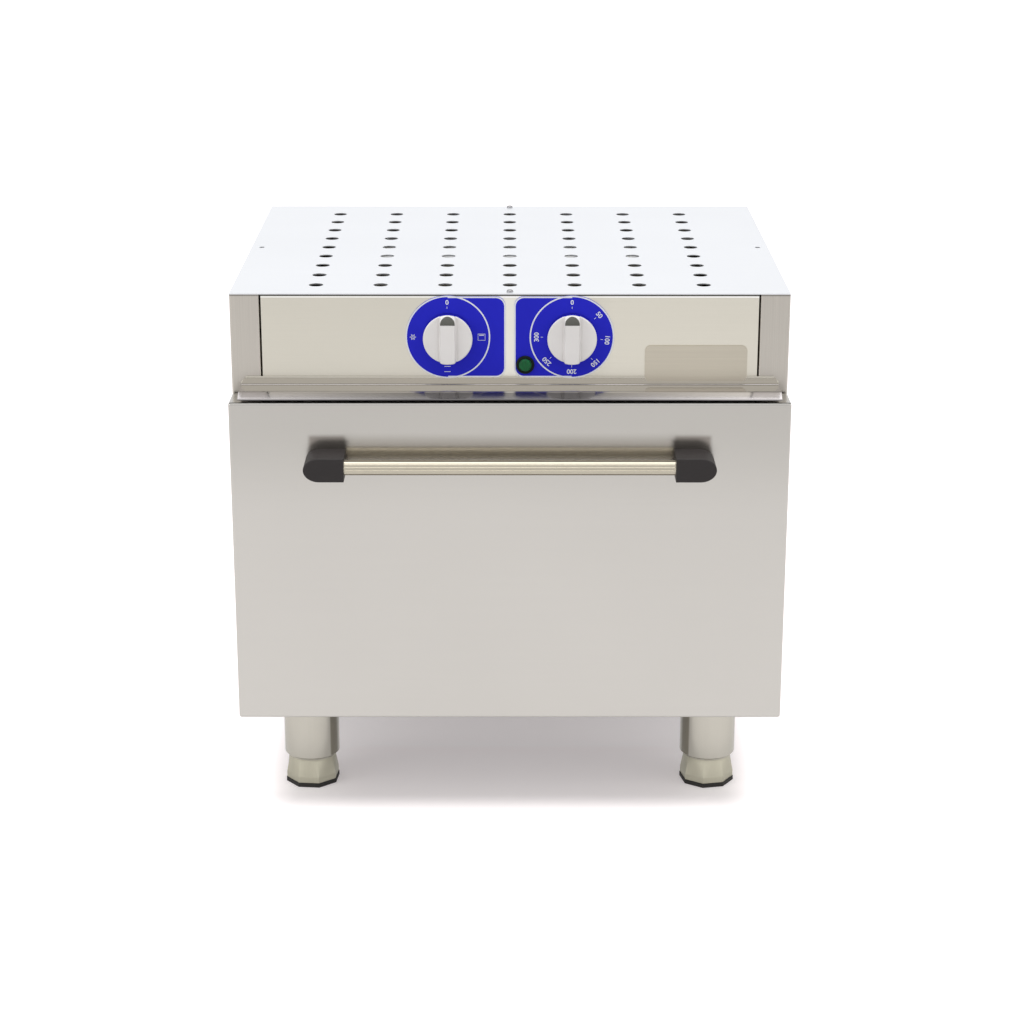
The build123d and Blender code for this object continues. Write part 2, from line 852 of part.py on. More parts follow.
def serpentine(runs, pitch, z, front, back, tail_end):
    """Tubular heater that runs to and fro along Y; both tails leave at the back."""
    first_x = -pitch * (runs - 1) / 2
    points = [(first_x, tail_end, z)]
    for run in range(runs):
        x = first_x + run * pitch
        ends = (back, front) if run % 2 == 0 else (front, back)
        if run > 0:
            points.append((x, ends[0], z))
        if run < runs - 1:
            points.append((x, ends[1], z))
    points.append((-first_x, tail_end, z))
    path = FilletPolyline(*points, radius=pitch * 0.42)
    return wire_along(path, element_radius)


def grill_element():
    """Grill heater that hangs under the oven ceiling."""
    z = cavity_top_z - grill_drop
    back = guard_y - grill_back_gap
    return serpentine(grill_runs, grill_pitch, z, front_y + grill_front, back, wall_back_y + element_tail)


def floor_element():
    """Heater that lies against the underside of the oven floor."""
    z = cavity_floor_z - cavity_sheet - element_radius - fit
    back = guard_y - grill_back_gap
    return serpentine(floor_runs, floor_pitch, z, front_y + grill_front, back, wall_back_y + element_tail)


# Racks and shelf inside the oven

def level_height(level):
    """Height of the middle of a runner, counted from the lowest one."""
    return cavity_floor_z + rack_first + level * rack_pitch


def shelf_racks():
    """Left and right wire rack: two uprights, a top rail and the runners."""
    low = cavity_floor_z + rack_top
    high = cavity_top_z - rack_top
    rail = [
        (rack_x, rack_front_y, low),
        (rack_x, rack_front_y, high),
        (rack_x, rack_back_y, high),
        (rack_x, rack_back_y, low),
    ]
    rack = wire_along(FilletPolyline(*rail, radius=rack_bend), rack_wire)
    for level in range(rack_levels):
        z = level_height(level)
        runner = [
            (rack_x, rack_front_y, z),
            (runner_x, rack_front_y, z),
            (runner_x, rack_back_y, z),
            (rack_x, rack_back_y, z),
        ]
        rack += wire_along(FilletPolyline(*runner, radius=rack_bend), rack_wire)
    return [mirrored(rack), rack]


def rack_pins():
    """Two pins on each side wall that the top rails of the racks hang on."""
    z = cavity_top_z - rack_top - rack_wire - pin_radius - fit / 3
    wall_x = cavity_width / 2
    pins = []
    for side in (-1, 1):
        for y in (rack_front_y + pin_inset, rack_back_y - pin_inset):
            x = sorted((side * (wall_x - pin_length), side * wall_x))
            pins.append(rod_x(pin_radius, y, z, *x))
    return pins


def wire_shelf():
    """Wire shelf: a round-cornered frame with thinner bars across it."""
    half = runner_x - rack_wire + shelf_overlap
    z = level_height(shelf_level - 1) + rack_wire + fit + shelf_wire
    y_low = front_y + shelf_front
    y_high = y_low + shelf_depth
    middle = (y_low + y_high) / 2
    half_depth = shelf_depth / 2 - shelf_wire
    frame_path = Plane.XY.offset(z) * Pos(0, middle) * RectangleRounded(
        2 * (half - shelf_wire), 2 * half_depth, shelf_corner
    )
    path = frame_path.face().outer_wire()
    shelf = wire_along(path, shelf_wire)
    reach = half_depth + shelf_wire / 2
    pitch = 2 * (half - shelf_wire) / (shelf_bars + 1)
    for bar in range(shelf_bars):
        x = -(half - shelf_wire) + (bar + 1) * pitch
        shelf += rod_y(shelf_bar, x, z + shelf_wire / 2, middle - reach, middle + reach)
    return shelf


def probe_x():
    """Sideways place of the temperature probe."""
    return cavity_width / 2 - probe_wall_gap + probe_radius


def probe_front_y():
    """Front end of the temperature probe."""
    return front_y + probe_front


def thermostat_probe():
    """Sensing bulb in the top corner of the oven and the capillary that joins it to the thermostat."""
    x = probe_x()
    y = probe_front_y()
    z = cavity_top_z - rack_top / 2
    body_back_y = front_y + panel_sheet + control_standoff + thermostat_depth
    route = [
        (x, y + 2 * capillary_bend, z),
        (x, y, z),
        (x, y, wool_top_z + 2 * capillary_bend),
        (x, y + 2 * capillary_bend, wool_top_z + 2 * capillary_bend),
        (dial_x, y + 2 * capillary_bend, wool_top_z + 2 * capillary_bend),
        (dial_x, y + 2 * capillary_bend, dial_z),
        (dial_x, body_back_y, dial_z),
    ]
    capillary = wire_along(FilletPolyline(*route, radius=capillary_bend * 0.8), capillary_radius)
    bulb_low = y + 2 * capillary_bend - probe_radius
    bulb = rod_y(probe_radius, x, z, bulb_low, bulb_low + probe_length)
    bulb = fillet(bulb.edges().filter_by(GeomType.CIRCLE), probe_radius * 0.6)
    return capillary + bulb


def inner_bridge():
    """Bright channel that stands on the wool and shows through the middle rows of vents."""
    top = cover_under_z - bridge_below_cover
    mid = panel_sheet / 2
    near = front_y + bridge_front + mid
    far = near + bridge_width - panel_sheet
    path = [
        (near - bridge_foot, wool_top_z + mid),
        (near, wool_top_z + mid),
        (near, top - mid),
        (far, top - mid),
        (far, wool_top_z + mid),
        (far + bridge_foot, wool_top_z + mid),
    ]
    return slab_x(folded_sheet(path, panel_sheet, sheet_bend), -bridge_length / 2, bridge_length / 2)


# Controls on and behind the panel

def dial_badge(side):
    """Dial plate: a disc and a round-cornered half plate, rebated over the ledge's upstand."""
    inner_edge = side * badge_split / 2
    outer_edge = side * dial_x
    width = abs(outer_edge - inner_edge) + badge_corner
    middle = (inner_edge + outer_edge + side * badge_corner) / 2
    square = Pos(middle, dial_z) * RectangleRounded(width, badge_height, badge_corner)
    half_plate = Rectangle(abs(outer_edge - inner_edge), badge_height)
    square &= Pos((inner_edge + outer_edge) / 2, dial_z) * half_plate
    outline = square + Pos(side * dial_x, dial_z) * Circle(dial_radius)
    outline -= Pos(side * dial_x, dial_z) * Circle(bushing_radius + bushing_clearance)
    if side > 0:
        outline -= Pos(lamp_x, lamp_z) * Circle(barrel_radius + bushing_clearance)
    return slab_y(outline, badge_face_y, front_y) - upstand_rebate()


def name_plate():
    """Bare plate with rounded corners on the right of the panel, rebated over the ledge's upstand."""
    outline = Pos(plate_x, top_z - plate_drop) * RectangleRounded(plate_width, plate_height, plate_corner)
    return slab_y(outline, front_y - plate_sheet, front_y) - upstand_rebate()


def upstand_rebate():
    """Clear space for the ledge's upstand behind a plate on the panel."""
    return block(
        (-half_width, half_width),
        (front_y - ledge_sheet, front_y + past),
        (ledge_top_z, ledge_top_z + ledge_upstand + fit),
    )


def lamp_bezel():
    """Black ring of the indicator lamp with its barrel behind the panel."""
    bezel = rod_y(bezel_radius, lamp_x, lamp_z, badge_face_y - bezel_height, badge_face_y)
    bezel = fillet(bezel.faces().sort_by(Axis.Y)[0].edges(), bezel_height / 2)
    bezel += rod_y(barrel_radius, lamp_x, lamp_z, badge_face_y - bezel_height / 2, front_y + barrel_length)
    seat = badge_face_y - bezel_height / 2
    bezel -= rod_y(lens_radius, lamp_x, lamp_z, badge_face_y - 2 * bezel_height, seat)
    return bezel


def lamp_lens():
    """Green lens with a low dome."""
    seat = badge_face_y - bezel_height / 2
    lens = rod_y(lens_radius - fit / 3, lamp_x, lamp_z, seat - lens_height, seat)
    return fillet(lens.faces().sort_by(Axis.Y)[0].edges(), lens_height * 0.7)


def knob(side):
    """Round knob with a raised grip bar whose top end slopes away as a pointer."""
    x = side * dial_x
    skirt = rod_y(knob_radius, x, dial_z, knob_back_y - knob_skirt, knob_back_y)
    skirt = fillet(skirt.faces().sort_by(Axis.Y)[0].edges(), knob_edge)
    base = knob_back_y - knob_skirt / 2
    face = knob_back_y - knob_height
    slope_start = dial_z + knob_radius - pointer_length
    corner = (face + pointer_fall, dial_z + knob_radius)
    bulge = (face + pointer_fall * 0.28, slope_start + pointer_length * 0.62)
    profile = make_face([
        Line((base, dial_z - knob_radius), (face, dial_z - knob_radius)),
        Line((face, dial_z - knob_radius), (face, slope_start)),
        ThreePointArc((face, slope_start), bulge, corner),
        Line(corner, (base, dial_z + knob_radius)),
        Line((base, dial_z + knob_radius), (base, dial_z - knob_radius)),
    ])
    grip = slab_x(profile, x - grip_width / 2, x + grip_width / 2)
    grip &= rod_y(knob_radius, x, dial_z, face - past, knob_back_y)
    body = skirt + grip
    return body - rod_y(spindle_radius + running, x, dial_z, knob_back_y - spindle_grip, knob_back_y + past)


def spindle(side):
    """Control spindle that turns with its knob."""
    back = front_y + panel_sheet + control_standoff + spindle_depth
    return rod_y(spindle_radius, side * dial_x, dial_z, knob_back_y - spindle_grip, back)


def bushing(side, body_front):
    """Threaded bushing that carries a control in its panel hole."""
    return rod_y(bushing_radius, side * dial_x, dial_z, badge_face_y, body_front + past)


def spindle_bore(side):
    """Running bore for a spindle."""
    back = front_y + panel_sheet + control_standoff + spindle_depth
    return rod_y(spindle_radius + running, side * dial_x, dial_z, badge_face_y - past, back + running)


def selector_switch():
    """Rotary switch body behind the left knob, with two rows of terminals."""
    front = front_y + panel_sheet + control_standoff
    x = (-dial_x - switch_width / 2, -dial_x + switch_width / 2)
    z = (dial_z - switch_height / 2, dial_z + switch_height / 2)
    body = block(x, (front, front + switch_depth), z)
    body = fillet(body.edges().filter_by(Axis.Y), switch_round)
    tag = switch_tag
    for row in (-1, 1):
        for column in range(switch_tags):
            tag_x = -dial_x + (column - 1) * switch_width / 4
            tag_z = dial_z + row * switch_height / 4
            body += block(
                (tag_x - 2 * tag, tag_x + 2 * tag),
                (front + switch_depth - tag, front + switch_depth + 4 * tag),
                (tag_z - tag / 4, tag_z + tag / 4),
            )
    body += bushing(-1, front)
    body += control_flange(-1, front)
    return body - spindle_bore(-1)


def control_flange(side, front):
    """Shoulder that spaces a control off the back of the panel."""
    return rod_y(2 * bushing_radius, side * dial_x, dial_z, front_y + panel_sheet, front + past)


def thermostat_body():
    """Capillary thermostat body behind the right knob."""
    front = front_y + panel_sheet + control_standoff
    body = rod_y(thermostat_radius, dial_x, dial_z, front, front + thermostat_depth)
    body = fillet(body.edges().filter_by(GeomType.CIRCLE), thermostat_round)
    body += bushing(1, front)
    body += control_flange(1, front)
    return body - spindle_bore(1)


# Door

def door_outer_skin():
    """Door shell folded from one sheet: face, rounded front edges and four side walls."""
    depth = (door_face_y, door_back_y - inner_sheet)
    shell = block((-half_width, half_width), depth, (door_bottom_z, door_top_z))
    shell = fillet(shell.edges().filter_by(Axis.Y), door_edge)
    shell = fillet(shell.faces().sort_by(Axis.Y)[0].edges(), door_edge)
    wall = panel_sheet
    shell -= block(
        (-half_width + wall, half_width - wall),
        (door_face_y + wall, door_back_y),
        (door_bottom_z + wall, door_top_z - wall),
    )
    for x, z in handle_screw_places():
        shell -= rod_y(handle_screw_radius + fit / 2, x, z, door_face_y - past, door_face_y + 2 * wall)
    return shell - hinge_pockets()


def door_inner_panel():
    """Inner door sheet with a shallow pan pressed towards the oven mouth's outline."""
    depth = (door_back_y - inner_sheet, door_back_y)
    panel = block((-half_width, half_width), depth, (door_bottom_z, door_top_z))
    panel = fillet(panel.edges().filter_by(Axis.Y), door_edge)
    width = body_width - 2 * inner_pan_margin
    height = door_height - 2 * inner_pan_margin
    middle = Pos(0, (door_bottom_z + door_top_z) / 2)
    outer = middle * RectangleRounded(width, height, inner_pan_corner)
    inner_size = (width - 2 * inner_sheet, height - 2 * inner_sheet)
    inner = middle * RectangleRounded(*inner_size, inner_pan_corner - inner_sheet)
    pan_back = door_back_y - inner_sheet - inner_pan_depth
    panel += slab_y(outer, pan_back, door_back_y - inner_sheet / 2)
    panel -= slab_y(inner, pan_back + inner_sheet, door_back_y + past)
    return panel - hinge_pockets()


def door_insulation():
    """Wool block that fills the door between its two sheets."""
    gap = door_wool_gap
    wool = block(
        (-half_width + panel_sheet + gap, half_width - panel_sheet - gap),
        (door_face_y + panel_sheet + gap, door_back_y - inner_sheet - inner_pan_depth - gap),
        (door_bottom_z + panel_sheet + gap, door_top_z - panel_sheet - gap),
    )
    for x, z in handle_screw_places():
        depth = panel_sheet + handle_head_height + 2 * gap
        wool -= rod_y(handle_head_radius + gap, x, z, door_face_y, door_face_y + depth)
    for side in (-1, 1):
        near = hinge_x - pocket_width / 2 - cheek_thickness - gap
        far = hinge_x + pocket_width / 2 + cheek_thickness + gap
        x = sorted((side * near, side * far))
        y = (hinge_y - cheek_depth, door_back_y)
        wool -= block(x, y, (door_bottom_z, hinge_z + cheek_height + gap))
    return wool


def hinge_pockets():
    """Clear space round each hinge ear, open to the oven side and to the bottom of the door."""
    pockets = []
    for side in (-1, 1):
        x = sorted((side * (hinge_x - pocket_width / 2), side * (hinge_x + pocket_width / 2)))
        y = (hinge_y - pocket_radius, door_back_y + past)
        pockets.append(block(x, y, (door_bottom_z - past, hinge_z + pocket_radius)))
    return pockets


def door_hinge_cheeks():
    """Two cheek plates beside each pocket, bored for the hinge pin."""
    back = door_back_y - inner_sheet
    front = hinge_y - cheek_depth / 2
    low = door_bottom_z + panel_sheet
    outline = Pos((front + back) / 2, low + cheek_height / 2) * Rectangle(back - front, cheek_height)
    outline -= Pos(hinge_y, hinge_z) * Circle(pin_hinge_radius + running)
    cheeks = []
    for side in (-1, 1):
        for edge in (-1, 1):
            near = side * hinge_x + edge * pocket_width / 2
            x = sorted((near, near + edge * cheek_thickness))
            cheeks.append(slab_x(outline, *x))
    return cheeks


def hinge_brackets():
    """Fixed hinge plates behind the frame; each ear reaches through its slot to the door pin."""
    brackets = []
    for side in (-1, 1):
        middle = side * hinge_x
        x = (middle - ear_thickness / 2, middle + ear_thickness / 2)
        plate_y = (front_y + frame_sheet + fit, front_y + frame_sheet + hinge_plate_depth)
        plate_z = (base_z + 2 * cover_sheet, base_z + 2 * cover_sheet + hinge_plate_height)
        bracket = block(x, plate_y, plate_z)
        bracket = fillet(bracket.edges().filter_by(Axis.X), hinge_plate_round)
        ear_z = (hinge_z - ear_half_height, hinge_z + ear_half_height)
        bracket += block(x, (hinge_y, plate_y[0] + 2 * frame_sheet), ear_z)
        bracket += rod_x(ear_half_height, hinge_y, hinge_z, *x)
        pin_reach = pocket_width / 2 + cheek_thickness
        bracket += rod_x(pin_hinge_radius, hinge_y, hinge_z, middle - pin_reach, middle + pin_reach)
        brackets.append(bracket)
    return brackets


# Handle

def handle_screw_places():
    """Front-view places of the two screws behind each handle bracket."""
    middle = (bracket_inner_x + bracket_outer_x) / 2
    offset = handle_screw_spacing / 2
    return [(side * (middle + step), handle_z) for side in (-1, 1) for step in (-offset, offset)]


def right_handle_bracket():
    """Moulded bracket: flat front, square inner end, rounded outer end and a socket for the bar."""
    turn_x = bracket_outer_x - bracket_nose
    half = bracket_height / 2
    nose = Pos(turn_x, handle_z) * Ellipse(bracket_nose, half)
    straight = Rectangle(turn_x - bracket_inner_x, bracket_height)
    straight = Pos((bracket_inner_x + turn_x) / 2, handle_z) * straight
    nose &= Pos(turn_x + bracket_nose / 2, handle_z) * Rectangle(bracket_nose, bracket_height)
    bracket = slab_y(straight + nose, door_face_y - handle_reach, door_face_y)
    bracket = fillet(bracket.faces().sort_by(Axis.Y)[0].edges(), bracket_edge)
    socket = bar_radius + socket_clearance
    bracket -= rod_x(socket, bar_y, handle_z, bracket_inner_x - past, bracket_inner_x + socket_depth)
    for x, z in handle_screw_places():
        if x > 0:
            bracket -= rod_y(handle_screw_radius, x, z, door_face_y - handle_screw_length, door_face_y + past)
    return bracket


def handle_bar():
    """Fluted bar between the brackets, its ends inside their sockets."""
    section = Circle(bar_radius)
    section -= pattern(PolarLocations(bar_radius + flute_radius * 0.35, flutes), Circle(flute_radius))
    end = bracket_inner_x + socket_depth - fit
    return slab_x(Pos(bar_y, handle_z) * section, -end, end)


def handle_screws():
    """Screws that hold the brackets from inside the door."""
    screws = []
    for x, z in handle_screw_places():
        inside = door_face_y + panel_sheet
        shank = rod_y(handle_screw_radius, x, z, door_face_y - handle_screw_length, inside)
        head = rod_y(handle_head_radius, x, z, inside, inside + handle_head_height)
        screws.append(shank + head)
    return screws


# Legs and feet

def leg_places():
    """Plan places of the four legs."""
    front = front_y + leg_setback
    rear = back_y - leg_setback
    return {
        "front_left": (-leg_x, front),
        "front_right": (leg_x, front),
        "rear_left": (-leg_x, rear),
        "rear_right": (leg_x, rear),
    }


def leg_tube(x, y):
    """Leg tube with a tapered mouth, a closed top with its stud, and an inner bush for the foot stem."""
    mouth_z = foot_height
    lip_top_z = mouth_z + leg_mouth_height
    taper_z = lip_top_z + leg_taper
    inside = leg_radius - leg_wall
    mouth_inside = leg_mouth_radius - leg_wall
    bush_z = mouth_z + bush_low
    section = make_face(Polyline(
        (stem_radius + running, bush_z),
        (inside, bush_z),
        (inside, taper_z),
        (mouth_inside, lip_top_z),
        (mouth_inside, mouth_z),
        (leg_mouth_radius, mouth_z),
        (leg_mouth_radius, lip_top_z),
        (leg_radius, taper_z),
        (leg_radius, base_z),
        (stud_radius / 2, base_z),
        (stud_radius / 2, base_z - 2 * leg_wall),
        (inside, base_z - 2 * leg_wall),
        (inside, bush_z + bush_height),
        (stem_radius + running, bush_z + bush_height),
        (stem_radius + running, bush_z),
    ))
    tube = revolve(Plane.XZ * section, Axis.Z)
    tube += Pos(0, 0, base_z + stud_length / 2 - leg_wall) * Cylinder(stud_radius, stud_length + 2 * leg_wall)
    return Pos(x, y, 0) * tube


def leg_nut(x, y):
    """Nut that clamps a leg to the base pan."""
    low = base_z + cover_sheet
    nut = slab_z(hexagon(leg_nut_width), low, low + leg_nut_height)
    nut -= rod_z(stud_radius, 0, 0, low - past, low + 2 * leg_nut_height)
    return Pos(x, y, 0) * nut


def foot(name):
    """Adjustable foot: round neck that turns into an octagon, and the stem inside the leg."""
    neck_z = foot_height - foot_gap
    shoulder_z = pad_height + foot_straight
    turn = foot_turns[name]
    low = slab_z(octagon(foot_flat_width, turn), pad_height, shoulder_z)
    upper = loft([
        Plane.XY.offset(shoulder_z) * octagon(foot_flat_width, turn),
        Plane.XY.offset(neck_z - foot_neck) * Rot(0, 0, turn) * Circle(foot_radius),
    ])
    neck = rod_z(foot_radius, 0, 0, neck_z - foot_neck, neck_z)
    stem = rod_z(stem_radius, 0, 0, neck_z - foot_neck / 2, neck_z + stem_length)
    x, y = leg_places()[name]
    return Pos(x, y, 0) * (low + upper + neck + stem)


def foot_pad(name):
    """Rubber pad under a foot."""
    x, y = leg_places()[name]
    return Pos(x, y, 0) * slab_z(octagon(pad_flat_width, foot_turns[name]), 0, pad_height)


# Cable entry

def cable_gland():
    """Gland in the back panel: inner nut, thread, hexagon and clamping cap, bored for the lead."""
    z = base_z + gland_rise
    outer_hex = slab_y(Pos(gland_x, z) * hexagon(gland_hex), back_y, back_y + gland_hex_height)
    inner_y = (back_y - panel_sheet - gland_hex_height, back_y - panel_sheet)
    inner_hex = slab_y(Pos(gland_x, z) * hexagon(gland_hex), *inner_y)
    cap = rod_y(gland_cap_radius, gland_x, z, back_y + gland_hex_height - past, back_y + gland_reach)
    cap = fillet(cap.faces().sort_by(Axis.Y)[-1].edges(), gland_cap_radius / 3)
    thread = rod_y(gland_thread, gland_x, z, back_y - gland_inside, back_y + gland_hex_height)
    gland = outer_hex + inner_hex + cap + thread
    return gland - rod_y(gland_bore, gland_x, z, back_y - 2 * gland_inside, back_y + 2 * gland_reach)


def terminal_block():
    """Mains terminal block on the base pan beside the gland."""
    x_low = terminal_side_gap - half_width
    x = (x_low, x_low + terminal_width)
    y_high = back_y - terminal_length / 2
    y = (y_high - terminal_length, y_high)
    z = (base_z + cover_sheet, base_z + cover_sheet + terminal_height)
    body = block(x, y, z)
    slot = terminal_height / 4
    slot_x = (x[0] - past, x[1] + past)
    for way in range(1, terminal_ways):
        slot_y = y[0] + terminal_length * way / terminal_ways
        body -= block(slot_x, (slot_y - slot / 4, slot_y + slot / 4), (z[1] - slot, z[1] + past))
    return body


# Writing the parts

def save(name, shape):
    """Write one node; a list of solids becomes one node of separate solids."""
    group = Compound(children=[*shape]) if isinstance(shape, list) else shape
    export_step(group, os.path.join("parts", name + ".step"))


def main():
    """Build every node of the oven."""
    os.makedirs("parts", exist_ok=True)
    save("left_side_panel", mirrored(right_side_panel()))
    save("right_side_panel", right_side_panel())
    save("base_pan", base_pan())
    save("back_panel", back_panel())
    save("back_screws", back_screws())
    save("top_cover", top_cover())
    save("cover_rivets", cover_rivets())
    save("control_panel", control_panel())
    save("drip_ledge", drip_ledge())
    save("front_frame", front_frame())
    save("cavity_shell", cavity_shell())
    save("cavity_back_wall", cavity_back_wall())
    save("insulation_wrap", insulation_wrap())
    save("insulation_slabs", insulation_slabs())
    save("door_seal", door_seal())
    save("fan_guard", fan_guard())
    save("guard_fixings", guard_fixings())
    save("fan", fan())
    save("fan_shaft", fan_shaft())
    save("motor_mount", motor_mount())
    save("fan_motor", fan_motor())
    save("ring_element", ring_element())
    save("grill_element", grill_element())
    save("floor_element", floor_element())
    save("shelf_racks", shelf_racks())
    save("rack_pins", rack_pins())
    save("wire_shelf", wire_shelf())
    save("thermostat_probe", thermostat_probe())
    save("inner_bridge", inner_bridge())
    save("dial_badges", [dial_badge(-1), dial_badge(1)])
    save("name_plate", name_plate())
    save("lamp_bezel", lamp_bezel())
    save("lamp_lens", lamp_lens())
    save("selector_knob", knob(-1))
    save("selector_spindle", spindle(-1))
    save("selector_switch", selector_switch())
    save("thermostat_knob", knob(1))
    save("thermostat_spindle", spindle(1))
    save("thermostat_body", thermostat_body())
    save("door_outer_skin", door_outer_skin())
    save("door_inner_panel", door_inner_panel())
    save("door_insulation", door_insulation())
    save("door_hinge_cheeks", door_hinge_cheeks())
    save("hinge_brackets", hinge_brackets())
    save("handle_brackets", [mirrored(right_handle_bracket()), right_handle_bracket()])
    save("handle_bar", handle_bar())
    save("handle_screws", handle_screws())
    save("leg_tubes", [leg_tube(*place) for place in leg_places().values()])
    save("leg_nuts", [leg_nut(*place) for place in leg_places().values()])
    for name in leg_places():
        save("foot_" + name, foot(name))
        save("foot_pad_" + name, foot_pad(name))
    save("cable_gland", cable_gland())
    save("terminal_block", terminal_block())


main()
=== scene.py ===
# %% [markdown]
# Dressing a convection oven in Blender.
# The oven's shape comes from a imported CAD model: every sheet, knob and foot is already in place, in metres,
# with its front facing -Y and the floor at height 0. This lesson adds what CAD leaves out: finishes, printed
# dials, softly moulded knobs and turned legs. Then it puts the oven on a pale studio floor.

import json
import math

import bpy
import numpy as np
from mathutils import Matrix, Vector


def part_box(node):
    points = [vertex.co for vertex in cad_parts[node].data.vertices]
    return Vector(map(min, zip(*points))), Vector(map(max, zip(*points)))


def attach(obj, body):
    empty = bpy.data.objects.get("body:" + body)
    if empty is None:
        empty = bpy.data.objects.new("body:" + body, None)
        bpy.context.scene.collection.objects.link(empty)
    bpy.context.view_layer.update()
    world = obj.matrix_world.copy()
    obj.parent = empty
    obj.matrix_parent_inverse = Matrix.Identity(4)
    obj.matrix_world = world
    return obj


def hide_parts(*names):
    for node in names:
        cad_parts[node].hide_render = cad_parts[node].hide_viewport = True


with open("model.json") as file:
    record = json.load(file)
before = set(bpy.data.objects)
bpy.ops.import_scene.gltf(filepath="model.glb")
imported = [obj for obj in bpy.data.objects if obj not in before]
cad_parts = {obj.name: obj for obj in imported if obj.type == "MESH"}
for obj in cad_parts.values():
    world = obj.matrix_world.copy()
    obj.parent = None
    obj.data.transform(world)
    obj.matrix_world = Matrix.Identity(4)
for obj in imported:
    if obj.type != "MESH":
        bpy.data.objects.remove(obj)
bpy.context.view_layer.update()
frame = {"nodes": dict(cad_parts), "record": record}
nodes = frame["nodes"]
MM = 0.001

# %% [markdown]
# The camera stands 2.5 metres in front of the oven, a little above it, and looks down by 18 degrees. Those
# numbers were solved from the straight edges of the cabinet and its grid of vents, so the render can be laid
# over the picture it follows. A long lens keeps the sides of the cabinet nearly parallel.

# %% Camera
camera_place = (-0.00138, -2.73096, 1.15672)
camera_pitch = 17.99
camera_roll = -0.04
camera_yaw = -0.073
camera_lens = 84.66
camera_sensor = 36.0

camera_data = bpy.data.cameras.new("studio_camera")
camera_data.lens = camera_lens
camera_data.sensor_width = camera_sensor
camera = bpy.data.objects.new("studio_camera", camera_data)
camera.location = camera_place
camera.rotation_euler = [math.radians(a) for a in (90 - camera_pitch, camera_roll, camera_yaw)]
bpy.context.scene.collection.objects.link(camera)
bpy.context.scene.camera = camera
bpy.context.scene.view_settings.view_transform = "Standard"
print("camera at", camera_place)

# %% [markdown]
# Node materials are easier to read when each node is made by one call. This helper adds a node, sets its
# sockets by name and wires up the inputs that are given as links.


# %% Node helpers
def add_node(tree, kind, settings=None, **inputs):
    """Adds one shader node; an input is either a constant or another node's output socket."""
    node = tree.nodes.new(kind)
    for name, value in (settings or {}).items():
        setattr(node, name, value)
    for name, value in inputs.items():
        key = name.replace("_", " ") if name.replace("_", " ") in node.inputs else name
        socket = node.inputs[int(key[1:])] if key[0] == "i" and key[1:].isdigit() else node.inputs[key]
        if isinstance(value, bpy.types.NodeSocket):
            tree.links.new(value, socket)
        else:
            socket.default_value = value
    return node


def linear(colour):
    """A screen colour of 0 to 255 as linear red, green, blue and alpha."""
    c = np.array(colour, float) / 255
    low = c / 12.92
    high = ((c + 0.055) / 1.055) ** 2.4
    return (*np.where(c <= 0.04045, low, high), 1.0)


def new_material(name):
    """An empty node material with its output; returns the material, its tree and its Principled shader."""
    material = bpy.data.materials.new(name)
    material.use_nodes = True
    tree = material.node_tree
    tree.nodes.clear()
    shader = add_node(tree, "ShaderNodeBsdfPrincipled")
    output = add_node(tree, "ShaderNodeOutputMaterial")
    tree.links.new(shader.outputs["BSDF"], output.inputs["Surface"])
    return material, tree, shader


def stretched_noise(tree, stretch, scale, detail=3.0, roughness=0.5):
    """Noise in object coordinates, squeezed along each axis by the three factors in stretch."""
    place = add_node(tree, "ShaderNodeTexCoord")
    mapping = add_node(tree, "ShaderNodeMapping", Vector=place.outputs["Object"], Scale=stretch)
    noise = add_node(tree, "ShaderNodeTexNoise", Vector=mapping.outputs["Vector"], Scale=scale,
                     Detail=detail, Roughness=roughness)
    return noise.outputs["Fac"]


def ramp_between(tree, factor, low, high, start=0.3, end=0.7):
    """Colour that goes from low to high while the factor goes from start to end."""
    ramp = add_node(tree, "ShaderNodeValToRGB", Fac=factor)
    ramp.color_ramp.elements[0].position = start
    ramp.color_ramp.elements[0].color = low
    ramp.color_ramp.elements[1].position = end
    ramp.color_ramp.elements[1].color = high
    return ramp.outputs["Color"]


def shade(colour, factor):
    """The same colour made lighter or darker, kept below full white."""
    return (*[min(0.98, c * factor) for c in colour[:3]], 1.0)


def product(tree, first, second):
    """Product of two values, each a constant or an output socket."""
    node = add_node(tree, "ShaderNodeMath", {"operation": "MULTIPLY"}, i0=first, i1=second)
    return node.outputs["Value"]


def greater(tree, first, second):
    """The greater of two values."""
    node = add_node(tree, "ShaderNodeMath", {"operation": "MAXIMUM"}, i0=first, i1=second)
    return node.outputs["Value"]


def ease(tree, value, start, end, falling=False, kind="SMOOTHSTEP"):
    """Value that goes from 0 to 1, or from 1 to 0, while another goes from start to end."""
    node = add_node(tree, "ShaderNodeMapRange", {"interpolation_type": kind}, Value=value)
    node.inputs["From Min"].default_value = start
    node.inputs["From Max"].default_value = end
    node.inputs["To Min"].default_value = 1.0 if falling else 0.0
    node.inputs["To Max"].default_value = 0.0 if falling else 1.0
    return node.outputs["Result"]


def parts_of(tree, kind):
    """The three parts of the object's coordinates, or of its own normal, as X, Y and Z."""
    place = add_node(tree, "ShaderNodeTexCoord")
    return add_node(tree, "ShaderNodeSeparateXYZ", Vector=place.outputs[kind]).outputs


def band(material, axis, low, high, soft, kind="Object"):
    """Mask that is 1 where a coordinate, or the object's own normal, lies between low and high."""
    tree = material.node_tree
    value = parts_of(tree, kind)[axis]
    rise = ease(tree, value, low - soft, low)
    fall = ease(tree, value, high, high + soft, falling=True)
    return product(tree, rise, fall)


